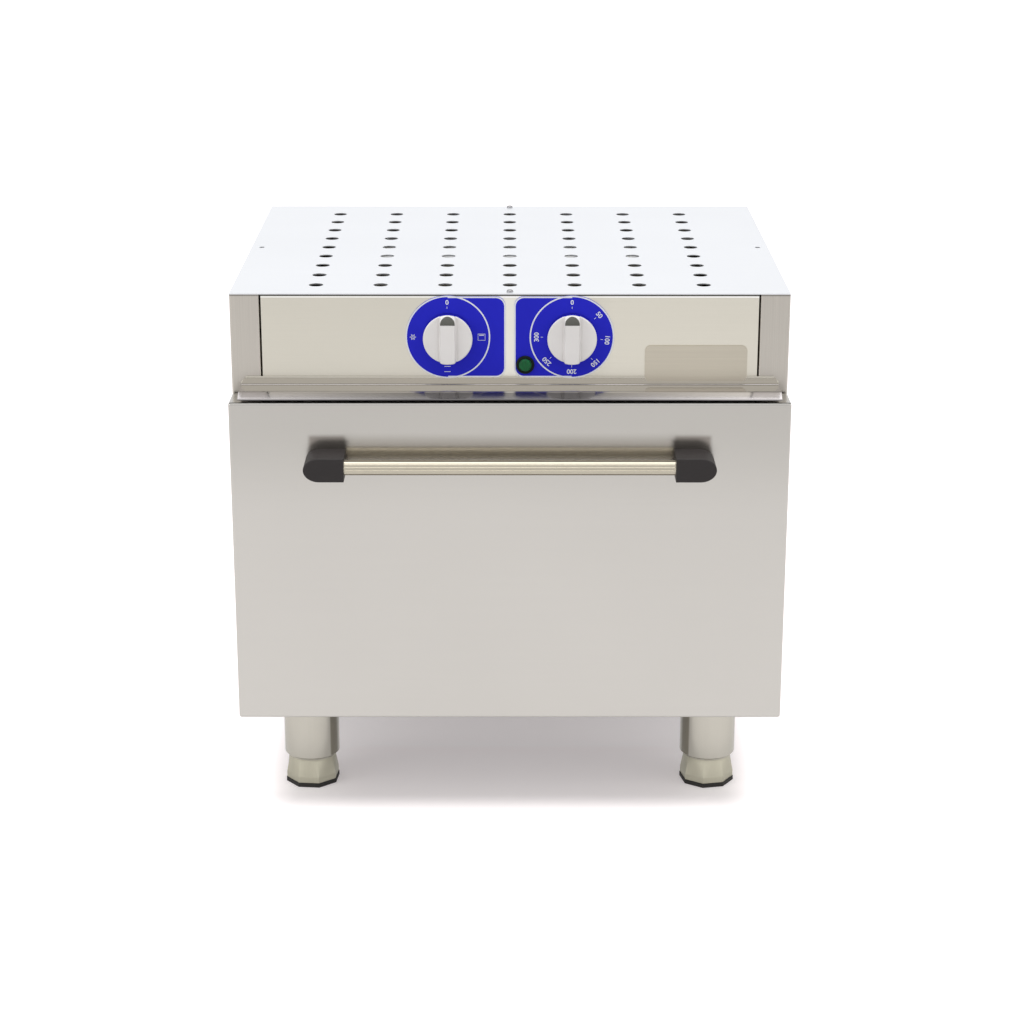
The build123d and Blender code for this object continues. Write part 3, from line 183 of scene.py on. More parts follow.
def paint_shading_zone(material, mask, colour):
    """Paints light and shade: multiplies the colour of a material by another colour where the mask is 1."""
    tree = material.node_tree
    shader = tree.nodes["Principled BSDF"]
    before = shader.inputs["Base Color"].links[0].from_socket
    mix = add_node(tree, "ShaderNodeMix", {"data_type": "RGBA", "blend_type": "MULTIPLY"}, i0=mask)
    tree.links.new(before, mix.inputs[6])
    if isinstance(colour, bpy.types.NodeSocket):
        tree.links.new(colour, mix.inputs[7])
    else:
        mix.inputs[7].default_value = (*colour, 1.0)
    tree.links.new(mix.outputs[2], shader.inputs["Base Color"])


def both_masks(material, first, second):
    """Mask that is 1 only where two masks are."""
    return product(material.node_tree, first, second)


def profile_along(material, reach, stops):
    """Grey profile along X between -reach and reach; stops are pairs of a place in metres and a value."""
    tree = material.node_tree
    share = ease(tree, parts_of(tree, "Object")["X"], -reach, reach, kind="LINEAR")
    ramp = add_node(tree, "ShaderNodeValToRGB", Fac=share)
    elements = ramp.color_ramp.elements
    while len(elements) < len(stops):
        elements.new(0.5)
    for element, (x, value) in zip(elements, stops):
        element.position = (x + reach) / (2 * reach)
        element.color = (value, value, value, 1)
    return ramp.outputs["Color"]


# %% [markdown]
# Brushed stainless steel shows fine straight scratches. Noise stretched along the grain drives the colour a
# little, the roughness more, and a very shallow bump, which blurs a reflection across the grain. A second,
# broad noise stands for the faint cloudiness of handled sheet.


# %% Brushed steel
def brushed_steel(name, colour, grain, roughness=0.3, spread=0.05, bump=0.05, cloud=0.04, metallic=1.0):
    """Brushed sheet. grain is X, Y or Z, the axis that the scratches run along."""
    material, tree, shader = new_material(name)
    stretch = [900.0, 900.0, 900.0]
    stretch["XYZ".index(grain)] = 6.0
    streaks = stretched_noise(tree, stretch, 1.0, 4.0, 0.6)
    clouds = stretched_noise(tree, (1.0, 1.0, 1.0), 5.0, 2.0)
    base = linear(colour)
    fine = ramp_between(tree, streaks, shade(base, 1 - spread), shade(base, 1 + spread))
    wide = ramp_between(tree, clouds, shade((1, 1, 1), 1 - cloud), (1, 1, 1, 1))
    mix = add_node(tree, "ShaderNodeMix", {"data_type": "RGBA", "blend_type": "MULTIPLY"}, i0=1.0)
    tree.links.new(fine, mix.inputs[6])
    tree.links.new(wide, mix.inputs[7])
    tree.links.new(mix.outputs[2], shader.inputs["Base Color"])
    rough = add_node(tree, "ShaderNodeMapRange", Value=streaks)
    rough.inputs["To Min"].default_value = max(0.02, roughness - 0.06)
    rough.inputs["To Max"].default_value = roughness + 0.06
    tree.links.new(rough.outputs["Result"], shader.inputs["Roughness"])
    relief = add_node(tree, "ShaderNodeBump", Strength=bump, Distance=0.0004, Height=streaks)
    tree.links.new(relief.outputs["Normal"], shader.inputs["Normal"])
    shader.inputs["Metallic"].default_value = metallic
    return material


cabinet_steel = brushed_steel("cabinet_steel", (196, 191, 183), "Z", 0.32)
cover_steel = brushed_steel("cover_steel", (238, 240, 244), "X", 0.35, spread=0.01, cloud=0.01)
panel_steel = brushed_steel("panel_steel", (216, 212, 200), "X", 0.30, spread=0.012, cloud=0.02)
door_steel = brushed_steel("door_steel", (204, 201, 196), "X", 0.20, spread=0.012, bump=0.02, cloud=0.02)
rivet_steel = brushed_steel("rivet_steel", (150, 150, 152), "X", 0.30, spread=0.02)
leg_steel = brushed_steel("leg_steel", (200, 196, 186), "Z", 0.15, spread=0.02)
bridge_steel = brushed_steel("bridge_steel", (252, 252, 252), "X", 0.5, spread=0.01, metallic=0.3)
plain_steel = brushed_steel("plain_steel", (170, 170, 170), "Y", 0.38, cloud=0.1)
cavity_steel = brushed_steel("cavity_steel", (176, 173, 168), "Y", 0.30, cloud=0.08)
print("steel finishes made")

# %% [markdown]
# The sheets aren't equally bright all over, because a room isn't, so light and shade are painted into their
# colour. The panel gets a painted highlight between its badges and along its bend, and painted shade on its
# folded top edge, which lies in the shadow of the cover; the cabinet's top bend gets painted shade too. The
# door gets painted shade towards the ledge and painted reflection and shade behind its handle, and each leg
# painted shade on the side towards the middle. A band of one coordinate, or of the normal for the legs, masks
# each zone, and the colour is multiplied there.

# %% Painted light and shade on the sheets
above = 0.60
door_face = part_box("door_outer_skin")[0][1]
handle_shade_soft = 0.006
bar_shade_half = 0.176
bracket_shade_ends = (0.180, 0.212)


def paint_shading_bands(material, zones):
    """Paints light and shade in zones: each is an axis, low, high, softness, colour and kind of coordinate.
    """
    for axis, low, high, soft, colour, *kind in zones:
        paint_shading_zone(material, band(material, axis, low, high, soft, *kind), colour)


# Panel: a painted highlight between the badges, painted light on its right part, painted shade on the folded
# top edge under the cover and a painted highlight along the bend below it.
paint_shading_bands(panel_steel, [
    ("X", -0.004, 0.004, 0.02, (1.25, 1.28, 1.33)),
    ("X", 0.115, 0.4, 0.03, (1.07, 1.07, 1.07)),
    ("Z", 0.5822, above, 0.0003, (0.16, 0.16, 0.16)),
    ("Z", 0.5806, 0.5819, 0.0003, (1.42, 1.48, 1.60)),
])
# Painted shade on the cabinet's top bend, under the edge of the cover.
paint_shading_bands(cabinet_steel, [("Z", 0.5823, above, 0.0003, (0.5, 0.5, 0.5))])
# Painted shade on the door: darker towards the ledge, and darker still along its top edge.
paint_shading_bands(door_steel, [
    ("Z", 0.455, above, 0.11, (0.89, 0.89, 0.885)),
    ("Z", 0.4735, above, 0.0004, (0.92, 0.92, 0.92)),
])
# Painted shadow on the front strip of the door's top face, in the gap under the ledge's lip.
under_lip_shadow = both_masks(door_steel, band(door_steel, "Z", 0.4750, above, 0.0003),
                       band(door_steel, "Y", -0.30, door_face + 0.0025, 0.001))
paint_shading_zone(door_steel, under_lip_shadow, (0.25, 0.25, 0.25))
# Painted reflection and shade of the handle bar on the door behind it.
bar_shade = both_masks(door_steel, band(door_steel, "Z", 0.425, 0.430, 0.015),
                       band(door_steel, "X", -bar_shade_half, bar_shade_half, handle_shade_soft))
paint_shading_zone(door_steel, bar_shade, (0.72, 0.70, 0.67))
# Painted reflection and shade of each handle bracket on the door.
for side in (-1, 1):
    ends = sorted(side * end for end in bracket_shade_ends)
    bracket_shade = both_masks(door_steel, band(door_steel, "Z", 0.416, 0.4365, handle_shade_soft),
                               band(door_steel, "X", *ends, handle_shade_soft))
    paint_shading_zone(door_steel, bracket_shade, (0.55, 0.52, 0.50))


def inner_side_mask(material, low, high, soft):
    """Mask on the side of each leg that faces the middle of the oven, from the normal's sideways part."""
    tree = material.node_tree
    side = add_node(tree, "ShaderNodeMath", {"operation": "SIGN"}, i0=parts_of(tree, "Object")["X"])
    outward = product(tree, side.outputs["Value"], parts_of(tree, "Normal")["X"])
    rise = ease(tree, outward, -low, -low - soft, kind="LINEAR")
    fall = ease(tree, outward, -high - soft, -high, kind="LINEAR")
    return product(tree, rise, fall)


# Painted shade and reflection: each leg is darker on its side towards the middle of the oven, where it faces
# the dark underside.
paint_shading_zone(leg_steel, inner_side_mask(leg_steel, 0.70, 0.93, 0.05), (0.52, 0.50, 0.46))
print("zones tinted")

# %% [markdown]
# The ledge is bright, mirror-like sheet, so it takes the same recipe with far less roughness. Its slanted
# lip gets a painted reflection that is dark in the middle and rises to its ends, which a ramp along X gives,
# its underside gets painted shade and its upstand painted light and shade. The handle bar is drawn and
# polished along its length, with painted shade along its top and bottom, and the wire shelf is nickel plated.

# %% Polished steel
ledge_steel = brushed_steel("ledge_steel", (198, 193, 191), "X", 0.10, spread=0.02, bump=0.02, cloud=0.02)
# Painted reflection on the lip: the whole lip darker, then a grey profile along X, dark in the middle and
# lighter towards the ends.
lip_reflection_stops = [(-0.28, 0.69), (-0.10, 0.30), (0.07, 0.29), (0.262, 0.88)]
lip_reflection_profile = profile_along(ledge_steel, 0.29, lip_reflection_stops)
lip_zone = band(ledge_steel, "Z", 0.46, 0.4838, 0.0006)
paint_shading_zone(ledge_steel, lip_zone, (0.74, 0.745, 0.765))
paint_shading_zone(ledge_steel, lip_zone, lip_reflection_profile)
# Painted light on the upstand and painted shade higher up it, a dark line at its foot, a darker strip across
# the ledge near its front, and painted shade on the underside, where the normal points down.
paint_shading_bands(ledge_steel, [
    ("Z", 0.4856, above, 0.0004, (1.05, 1.06, 0.94)),
    ("Z", 0.4940, above, 0.0002, (0.75, 0.75, 0.75)),
    ("Z", 0.4852, 0.4858, 0.0002, (0.5, 0.5, 0.5)),
    ("Y", -0.2472, -0.2440, 0.0006, (0.50, 0.50, 0.50)),
    ("Z", -1.1, -0.8, 0.05, (0.08, 0.08, 0.08), "Normal"),
])
bar_steel = brushed_steel("bar_steel", (198, 191, 175), "X", 0.20, spread=0.02, bump=0.02)
# Painted shade darkens the handle bar along its top and along its bottom.
paint_shading_bands(bar_steel, [
    ("Z", 0.4193, 0.50, 0.0005, (0.34, 0.32, 0.30)),
    ("Z", 0.30, 0.4063, 0.0005, (0.36, 0.34, 0.32)),
])
knob_chrome = brushed_steel("knob_chrome", (222, 224, 232), "Y", 0.06, spread=0.01, bump=0.01)
wire_steel = brushed_steel("wire_steel", (205, 203, 200), "Y", 0.14, spread=0.02, bump=0.01)
screw_steel = brushed_steel("screw_steel", (165, 166, 168), "Y", 0.30, spread=0.04)
shaft_steel = brushed_steel("shaft_steel", (160, 160, 162), "Y", 0.25, spread=0.04)
cast_foot = brushed_steel("cast_foot", (197, 193, 175), "Z", 0.34, spread=0.03, cloud=0.10)
fan_alloy = brushed_steel("fan_alloy", (190, 190, 192), "X", 0.36, cloud=0.08)
plate_alloy = brushed_steel("plate_alloy", (200, 193, 178), "X", 0.34, spread=0.03, cloud=0.06)
copper = brushed_steel("copper", (196, 128, 92), "X", 0.30, cloud=0.12)
print("polished finishes made")

# %% [markdown]
# Plastic, rubber and paint are not metal: their colour is even, and a fine pebble in the surface breaks the
# highlight. One recipe with a different grain size, bump and gloss covers the brackets, knobs, pads, gland,
# motor paint, heater sheath and the print of the badges.


# %% Moulded finishes
def moulded(name, colour, roughness, grain_size=0.0006, bump=0.15, variation=0.08, coat=0.0, dirt=0.0,
            gloss=0.5):
    """Moulded plastic or rubber with a pebbled surface; dirt darkens its broad patches."""
    material, tree, shader = new_material(name)
    pebble = stretched_noise(tree, (1.0, 1.0, 1.0), 1.0 / grain_size, 2.0)
    patches = stretched_noise(tree, (1.0, 1.0, 1.0), 40.0, 3.0)
    base = linear(colour)
    tint = ramp_between(tree, patches, shade(base, 1 - variation - dirt), shade(base, 1 + variation))
    tree.links.new(tint, shader.inputs["Base Color"])
    rough = add_node(tree, "ShaderNodeMapRange", Value=patches)
    rough.inputs["To Min"].default_value = max(0.03, roughness - 0.05)
    rough.inputs["To Max"].default_value = roughness + 0.07
    tree.links.new(rough.outputs["Result"], shader.inputs["Roughness"])
    relief = add_node(tree, "ShaderNodeBump", Strength=bump, Distance=0.0003, Height=pebble)
    tree.links.new(relief.outputs["Normal"], shader.inputs["Normal"])
    shader.inputs["Coat Weight"].default_value = coat
    shader.inputs["Specular IOR Level"].default_value = gloss
    return material


bracket_plastic = moulded("bracket_plastic", (46, 42, 42), 0.50, gloss=0.3)
pad_rubber = moulded("pad_rubber", (38, 35, 32), 0.70, 0.001, 0.25)
seal_rubber = moulded("seal_rubber", (60, 58, 56), 0.60)
gland_plastic = moulded("gland_plastic", (48, 48, 50), 0.50)
bezel_plastic = moulded("bezel_plastic", (16, 26, 22), 0.45, gloss=0.12)
switch_plastic = moulded("switch_plastic", (214, 208, 190), 0.50)
ceramic = moulded("ceramic", (228, 222, 210), 0.45)
knob_plastic = moulded("knob_plastic", (239, 236, 234), 0.30, 0.0012, 0.04, 0.02, coat=0.2)
pointer_plastic = moulded("pointer_plastic", (84, 84, 78), 0.40)
motor_paint = moulded("motor_paint", (44, 44, 48), 0.42, 0.0015, 0.2)
heater_sheath = moulded("heater_sheath", (82, 74, 68), 0.50, 0.002, 0.2, 0.2)
badge_blue = moulded("badge_blue", (43, 45, 202), 0.40, 0.002, 0.01, 0.03, gloss=0.06)
print_white = moulded("print_white", (236, 238, 246), 0.35, 0.002, 0.01, 0.02)
print("moulded finishes made")

# %% [markdown]
# Mineral wool is matted fibre, and its bump is coarse and strong. The lamp's lens is green plastic that lets
# a little light through; a plain transmission value on the shader is enough at this size.


# %% Wool and lens
def mineral_wool():
    """Yellowish matted fibre with a deep, crossed bump."""
    material, tree, shader = new_material("mineral_wool")
    fibre = stretched_noise(tree, (1.0, 6.0, 1.0), 180.0, 6.0, 0.7)
    tint = ramp_between(tree, fibre, linear((178, 164, 108)), linear((226, 214, 160)))
    tree.links.new(tint, shader.inputs["Base Color"])
    relief = add_node(tree, "ShaderNodeBump", Strength=0.8, Distance=0.003, Height=fibre)
    tree.links.new(relief.outputs["Normal"], shader.inputs["Normal"])
    shader.inputs["Roughness"].default_value = 0.95
    return material


def lamp_green():
    """Green lens with fine vertical flutes."""
    material, tree, shader = new_material("lamp_green")
    flutes = stretched_noise(tree, (1.0, 0.1, 0.1), 1400.0, 1.0)
    tint = ramp_between(tree, flutes, linear((0, 76, 38)), linear((4, 112, 58)))
    tree.links.new(tint, shader.inputs["Base Color"])
    relief = add_node(tree, "ShaderNodeBump", Strength=0.2, Distance=0.0004, Height=flutes)
    tree.links.new(relief.outputs["Normal"], shader.inputs["Normal"])
    shader.inputs["Roughness"].default_value = 0.35
    shader.inputs["Specular IOR Level"].default_value = 0.25
    shader.inputs["Transmission Weight"].default_value = 0.10
    return material


wool = mineral_wool()
lens_green = lamp_green()
print("wool and lens made")

# %% [markdown]
# The record lists a material slot for every CAD node, so one table from slot to finish dresses them all. Two
# nodes then get a finish of their own: the bright strap under the vents and the rivets in the cover.

# %% Dress the CAD nodes
finish_of_slot = {
    "brushed_cabinet": cabinet_steel,
    "cover_sheet": cover_steel,
    "panel_sheet": panel_steel,
    "polished_ledge": ledge_steel,
    "door_sheet": door_steel,
    "plain_sheet": plain_steel,
    "cavity_sheet": cavity_steel,
    "mineral_wool": wool,
    "seal_silicone": seal_rubber,
    "fan_metal": fan_alloy,
    "shaft_steel": shaft_steel,
    "motor_paint": motor_paint,
    "heater_sheath": heater_sheath,
    "rack_wire": wire_steel,
    "probe_copper": copper,
    "badge_print": badge_blue,
    "bare_plate": plate_alloy,
    "black_plastic": bezel_plastic,
    "lamp_green": lens_green,
    "knob_silver": knob_plastic,
    "switch_plastic": switch_plastic,
    "handle_steel": bar_steel,
    "bracket_plastic": bracket_plastic,
    "screw_steel": screw_steel,
    "leg_steel": leg_steel,
    "foot_metal": cast_foot,
    "pad_rubber": pad_rubber,
    "gland_plastic": gland_plastic,
    "ceramic": ceramic,
}
slot_of_node = {entry["node"]: entry["material_slot"] for entry in frame["record"]["subparts"]}
for node_name, slot_name in slot_of_node.items():
    mesh = nodes[node_name].data
    mesh.materials.clear()
    mesh.materials.append(finish_of_slot[slot_name])
nodes["inner_bridge"].data.materials[0] = bridge_steel
nodes["cover_rivets"].data.materials[0] = rivet_steel
print("dressed", len(slot_of_node), "nodes")


# %% [markdown]
# Nearly every new piece below is a grid of points worked out at once with numpy. This helper joins the
# grid's neighbours into quads, closes it round where that is asked, and fills its first or last row with one
# face. A stack of grids of the same size becomes one object with as many shells.


# %% Grid helper
def grid_piece(name, points, material, wrap=False, cap_start=False, cap_end=False, smooth=True):
    """Mesh object from an array of rows x columns x 3, or a stack of them; wrap joins each row's ends."""
    grids = points if points.ndim == 4 else points[None]
    count, rows, columns = grids.shape[:3]
    faces = []
    for copy in range(count):
        index = np.arange(rows * columns).reshape(rows, columns) + copy * rows * columns
        right = np.roll(index, -1, axis=1) if wrap else index[:, 1:]
        left = index if wrap else index[:, :-1]
        quads = np.stack([left[:-1], right[:-1], right[1:], left[1:]], axis=-1).reshape(-1, 4)
        faces += quads.tolist()
        if cap_start:
            faces.append(index[0][::-1].tolist())
        if cap_end:
            faces.append(index[-1].tolist())
    mesh = bpy.data.meshes.new(name)
    mesh.from_pydata(points.reshape(-1, 3).tolist(), [], faces)
    mesh.materials.append(material)
    mesh.polygons.foreach_set("use_smooth", np.full(len(mesh.polygons), smooth))
    mesh.validate()
    piece = bpy.data.objects.new(name, mesh)
    bpy.context.scene.collection.objects.link(piece)
    return piece


print("grid helper ready")

# %% [markdown]
# Each knob is a disc with a bar across it that flows into the disc through small fillets, and whose top end
# slopes away under a dark pointer cap. Here its face is a height map over a disc: the height depends on the
# distance from the middle line, with a smooth step at the bar's edge. The wall round it is bright chrome.

# %% Knob surface
knob_low, knob_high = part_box("selector_knob")
knob_radius = (knob_high[0] - knob_low[0]) / 2
knob_back = knob_high[1]
knob_front = knob_low[1]
dial_x = -(knob_high[0] + knob_low[0]) / 2
dial_z = (knob_high[2] + knob_low[2]) / 2
disc_height = 11.5 * MM
bar_height = knob_back - knob_front
bar_half = 8.1 * MM
bar_fillet = 1.2 * MM
pointer_length = 9.8 * MM
pointer_fall = 5.0 * MM
rim_round = 1.4 * MM
groove_depth = 0.7 * MM


def smooth_step(value, low, high):
    """0 below low, 1 above high and a smooth S between them."""
    t = np.clip((value - low) / (high - low), 0, 1)
    return t * t * (3 - 2 * t)


def knob_height(x, z):
    """Height over the knob's back at a point of its face.

    The disc's height plus the bar's rise, which ends in a smooth step at the bar's sides. A shallow groove
    runs beside the bar, and the bar's top end falls along a quarter wave.
    """
    side = 1 - smooth_step(np.abs(x), bar_half - bar_fillet / 4, bar_half + bar_fillet / 4)
    groove = np.exp(-(((np.abs(x) - bar_half - bar_fillet) / bar_fillet) ** 2))
    along = np.clip((z - (knob_radius - pointer_length)) / pointer_length, 0, 1)
    top = bar_height - pointer_fall * (1 - np.cos(along * math.pi / 2)) ** 0.9
    return disc_height - groove_depth * groove * (1 - side) + (top - disc_height) * side


face_rings = 44
face_spokes = 240


def knob_points(middle_x, rings=face_rings, spokes=face_spokes):
    """Grid of the knob: rings from the middle to the rim, round the rim and down its wall to the back.

    The height at the rim is lowered along a quarter circle. The last rings run down the wall and turn in
    under the back.
    """
    share = np.linspace(0.02, 1, rings)
    angle = np.linspace(0, 2 * math.pi, spokes, endpoint=False)
    radius = knob_radius * (1 - (1 - share) ** 1.3)
    r, a = np.meshgrid(radius, angle, indexing="ij")
    x = r * np.cos(a)
    z = r * np.sin(a)
    edge = np.clip((r - (knob_radius - rim_round)) / rim_round, 0, 1)
    height = knob_height(x, z) - rim_round * (1 - np.sqrt(1 - edge ** 2))
    wall = np.array([0.66, 0.33, 0.0])[:, None] * height[-1][None, :]
    wall_x = np.repeat(x[-1][None, :], 3, axis=0)
    wall_z = np.repeat(z[-1][None, :], 3, axis=0)
    back_x = x[-1][None, :] * 0.8
    back_z = z[-1][None, :] * 0.8
    xs = np.concatenate([x, wall_x, back_x]) + middle_x
    zs = np.concatenate([z, wall_z, back_z]) + dial_z
    ys = knob_back - np.concatenate([height, wall, np.zeros((1, spokes))])
    return np.stack([xs, ys, zs], axis=-1)


for side, name in ((-1, "selector"), (1, "thermostat")):
    body = grid_piece(name + "_knob_body", knob_points(side * dial_x), knob_plastic, True, True, True)
    body.data.materials.append(knob_chrome)
    finish_index = np.zeros(len(body.data.polygons), dtype=np.int32)
    finish_index[(face_rings - 1) * face_spokes:-2] = 1
    body.data.polygons.foreach_set("material_index", finish_index)
    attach(body, name)
    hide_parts(name + "_knob")
    print(body.name, len(body.data.polygons), "faces")

# %% [markdown]
# The pointer is a dark cap let into the top end of the bar. It is the same height map again, cut to an arch
# of the bar's width and lifted by about a tenth of a millimetre, so that it follows the slope.

# %% Pointer caps
cap_lift = 0.12 * MM
cap_rim = 0.9 * MM


def pointer_points(middle_x, across=25, along=25):
    """Grid over the bar's top end under a half-elliptic arch, lifted off the knob's surface."""
    half = bar_half - bar_fillet / 4
    x = np.linspace(-half, half, across)
    low = knob_radius - pointer_length
    share = np.linspace(0, 1, along)
    xx, ss = np.meshgrid(x, share, indexing="ij")
    rim = np.sqrt((knob_radius - cap_rim) ** 2 - xx ** 2)
    arch = 0.25 + 0.75 * np.sqrt(np.clip(1 - (xx / half) ** 2, 0, 1))
    zz = low + (rim - low) * arch * ss
    height = knob_height(xx, zz) + cap_lift
    edge = np.clip((np.sqrt(xx ** 2 + zz ** 2) - (knob_radius - rim_round)) / rim_round, 0, 1)
    height = height - rim_round * (1 - np.sqrt(1 - edge ** 2))
    return np.stack([xx + middle_x, knob_back - height, zz + dial_z], axis=-1)


for side, name in ((-1, "selector"), (1, "thermostat")):
    cap = grid_piece(name + "_pointer_cap", pointer_points(side * dial_x)[::-1], pointer_plastic)
    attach(cap, name)
    print(cap.name, len(cap.data.polygons), "faces")

# %% [markdown]
# The white lines on the blue badges are printed, so they have no thickness. A ribbon is a flat strip carried
# along a path: each point of the path is pushed half the width to either side along its normal.

# %% Printed ribbons
badge_low, badge_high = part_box("dial_badges")
print_lift = 0.06 * MM
edge_sink = 0.03 * MM
print_y = badge_low[1] - print_lift
badge_radius = badge_high[0] - dial_x
badge_inner = 4.6 * MM
badge_half_height = 44.35 * MM
badge_corner = 10.7 * MM
ring_width = 1.5 * MM


def ribbon(name, path, width, closed, sink=0.0):
    """Flat strip of the given width along a path of x and z values, just in front of the badges."""
    ahead = np.roll(path, -1, axis=0) if closed else np.vstack([path[1:], 2 * path[-1] - path[-2]])
    behind = np.roll(path, 1, axis=0) if closed else np.vstack([2 * path[0] - path[1], path[:-1]])
    tangent = ahead - behind
    tangent /= np.linalg.norm(tangent, axis=1)[:, None]
    normal = np.stack([-tangent[:, 1], tangent[:, 0]], axis=1)
    sides = np.stack([path - normal * width / 2, path + normal * width / 2])
    points = np.stack([sides[..., 0], np.full(sides.shape[:2], print_y + sink), sides[..., 1]], axis=-1)
    strip = grid_piece(name, points, print_white, wrap=closed)
    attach(strip, "cabinet")
    return strip


def circle_path(x, z, radius, start=0.0, end=360.0, count=160):
    """Points along an arc; the angles are in degrees, anticlockwise from +X."""
    closed = abs(end - start) >= 360
    angle = np.radians(np.linspace(start, end, count, endpoint=not closed))
    return np.stack([x + radius * np.cos(angle), z + radius * np.sin(angle)], axis=1)


def badge_edge_path(side):
    """Outline of the badge's square part: from the circle along the top, round two corners and back."""
    inset = ring_width / 2
    inner = badge_inner + inset
    half = badge_half_height - inset
    turn = badge_corner - inset
    top = circle_path(side * (inner + turn), dial_z + half - turn, turn, 90, 180 if side > 0 else 0, 24)
    low = circle_path(side * (inner + turn), dial_z - half + turn, turn, 180 if side > 0 else 360, 270, 24)
    start = np.array([[side * dial_x, dial_z + half]])
    end = np.array([[side * dial_x, dial_z - half]])
    return np.vstack([start, top, low, end])


for side, name in ((-1, "left"), (1, "right")):
    ring = circle_path(side * dial_x, dial_z, badge_radius - ring_width / 2)
    ribbon(name + "_dial_ring", ring, ring_width, True)
    ribbon(name + "_badge_edge", badge_edge_path(side), ring_width, False, edge_sink)
print("rings and edges printed")

# %% [markdown]
# The thermostat's scale is plain numbers at uneven turns with a short tick inside each. Text is made as a
# font object, turned into a mesh and only then placed, so its object stays at the origin like every piece.

# %% Dial numbers and ticks
number_size = 7.0 * MM
number_radius = 37.8 * MM
tick_inner = 31.0 * MM
tick_outer = 33.4 * MM
tick_width = 0.5 * MM
scale_turns = (0.0, 50.0, 94.5, 138.0, 180.0, 225.0, 270.0)
selector_x = -dial_x - 0.7 * MM


def printed_text(name, words, size, x, z, turn):
    """Flat text centred at x, z and turned clockwise by the given degrees."""
    curve = bpy.data.curves.new(name, "FONT")
    curve.body = words
    curve.size = size
    curve.align_x = "CENTER"
    curve.align_y = "CENTER"
    curve.offset = 0.02 * size
    holder = bpy.data.objects.new(name + "_outline", curve)
    bpy.context.scene.collection.objects.link(holder)
    bpy.context.view_layer.update()
    mesh = bpy.data.meshes.new_from_object(holder.evaluated_get(bpy.context.evaluated_depsgraph_get()))
    bpy.data.objects.remove(holder)
    flat = np.empty(len(mesh.vertices) * 3)
    mesh.vertices.foreach_get("co", flat)
    flat = flat.reshape(-1, 3)
    angle = -math.radians(turn)
    across = flat[:, 0] * math.cos(angle) - flat[:, 1] * math.sin(angle) + x
    up = flat[:, 0] * math.sin(angle) + flat[:, 1] * math.cos(angle) + z
    placed = np.stack([across, np.full(len(flat), print_y), up], axis=1)
    mesh.vertices.foreach_set("co", placed.ravel())
    mesh.materials.clear()
    mesh.materials.append(print_white)
    piece = bpy.data.objects.new(name, mesh)
    bpy.context.scene.collection.objects.link(piece)
    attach(piece, "cabinet")
    return piece


def radial_tick(name, middle_x, turn):
    """Short radial line at a clockwise angle from the top."""
    angle = math.radians(90 - turn)
    direction = np.array([math.cos(angle), math.sin(angle)])
    middle = np.array([middle_x, dial_z])
    path = middle + np.linspace(tick_inner, tick_outer, 2)[:, None] * direction
    return ribbon(name, path, tick_width, False)


for step, turn in enumerate(scale_turns):
    angle = math.radians(90 - turn)
    x = dial_x + number_radius * math.cos(angle)
    z = dial_z + number_radius * math.sin(angle)
    printed_text(f"scale_number_{step}", str(step * 50), number_size, x, z, turn)
    radial_tick(f"scale_tick_{step}", dial_x, turn)
printed_text("selector_zero", "0", number_size, selector_x, dial_z + number_radius, 0)
radial_tick("selector_tick", selector_x, 0.0)
print("scales printed")

# %% [markdown]
# The selector has three small signs for its settings: a square with a line across it for heat from above, a
# six-armed fan wheel, and a pair of bars for heat from above and below. All are ribbons again.

# %% Selector signs
sign_radius = 36.8 * MM
sign_line = 0.55 * MM
grill_width = 7.6 * MM
grill_height = 7.0 * MM
grill_bar_half = 2.6 * MM
grill_bar_rise = 2.2 * MM
wheel_arms = 6
wheel_reach = 3.4 * MM
wheel_ring = 2.2 * MM
both_bar_half = 3.4 * MM
both_bar_depths = (32.4 * MM, 38.2 * MM)


def square_path(x, z, width, height):
    """The four corners of a rectangle, anticlockwise."""
    half_x = width / 2
    half_z = height / 2
    return np.array([[x - half_x, z - half_z], [x + half_x, z - half_z],
                     [x + half_x, z + half_z], [x - half_x, z + half_z]])


def level_line(x, z, half):
    """The two ends of a level line round the middle x."""
    return np.array([[x - half, z], [x + half, z]])


grill_x = selector_x + sign_radius
ribbon("grill_sign_frame", square_path(grill_x, dial_z, grill_width, grill_height), sign_line, True)
ribbon("grill_sign_bar", level_line(grill_x, dial_z + grill_bar_rise, grill_bar_half), 2 * sign_line, False)
fan_x = selector_x - sign_radius
for arm in range(wheel_arms):
    angle = math.radians(arm * 360 / wheel_arms)
    reach = np.array([math.cos(angle), math.sin(angle)]) * wheel_reach
    spoke = np.array([fan_x, dial_z]) + np.linspace(0.2, 1, 2)[:, None] * reach
    ribbon(f"fan_sign_arm_{arm}", spoke, sign_line, False)
ribbon("fan_sign_ring", circle_path(fan_x, dial_z, wheel_ring, count=48), sign_line * 0.7, True)
for level, depth in enumerate(both_bar_depths):
    ribbon(f"both_sign_bar_{level}", level_line(selector_x, dial_z - depth, both_bar_half), sign_line, False)
print("selector signs printed")

# %% [markdown]
# The legs are turned tubes. CAD gives them a plain cone at the mouth, and a real one is spun in over a soft
# shoulder. Each leg here is a surface of revolution: a profile of radius and height, taken round its axis.

# %% Leg tubes
leg_low, leg_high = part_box("leg_tubes")
leg_radius = 31.4 * MM
mouth_radius = 27.7 * MM
mouth_inside = 26.2 * MM
leg_top = 119.9 * MM
shoulder_start = 37.2 * MM
shoulder_end = 33.8 * MM
mouth_z = leg_low[2]
inside_top = 45.0 * MM
wall_heights = (leg_top, 100 * MM, 60 * MM)
rim_drop = 0.4 * MM
rim_turn = 0.3 * MM


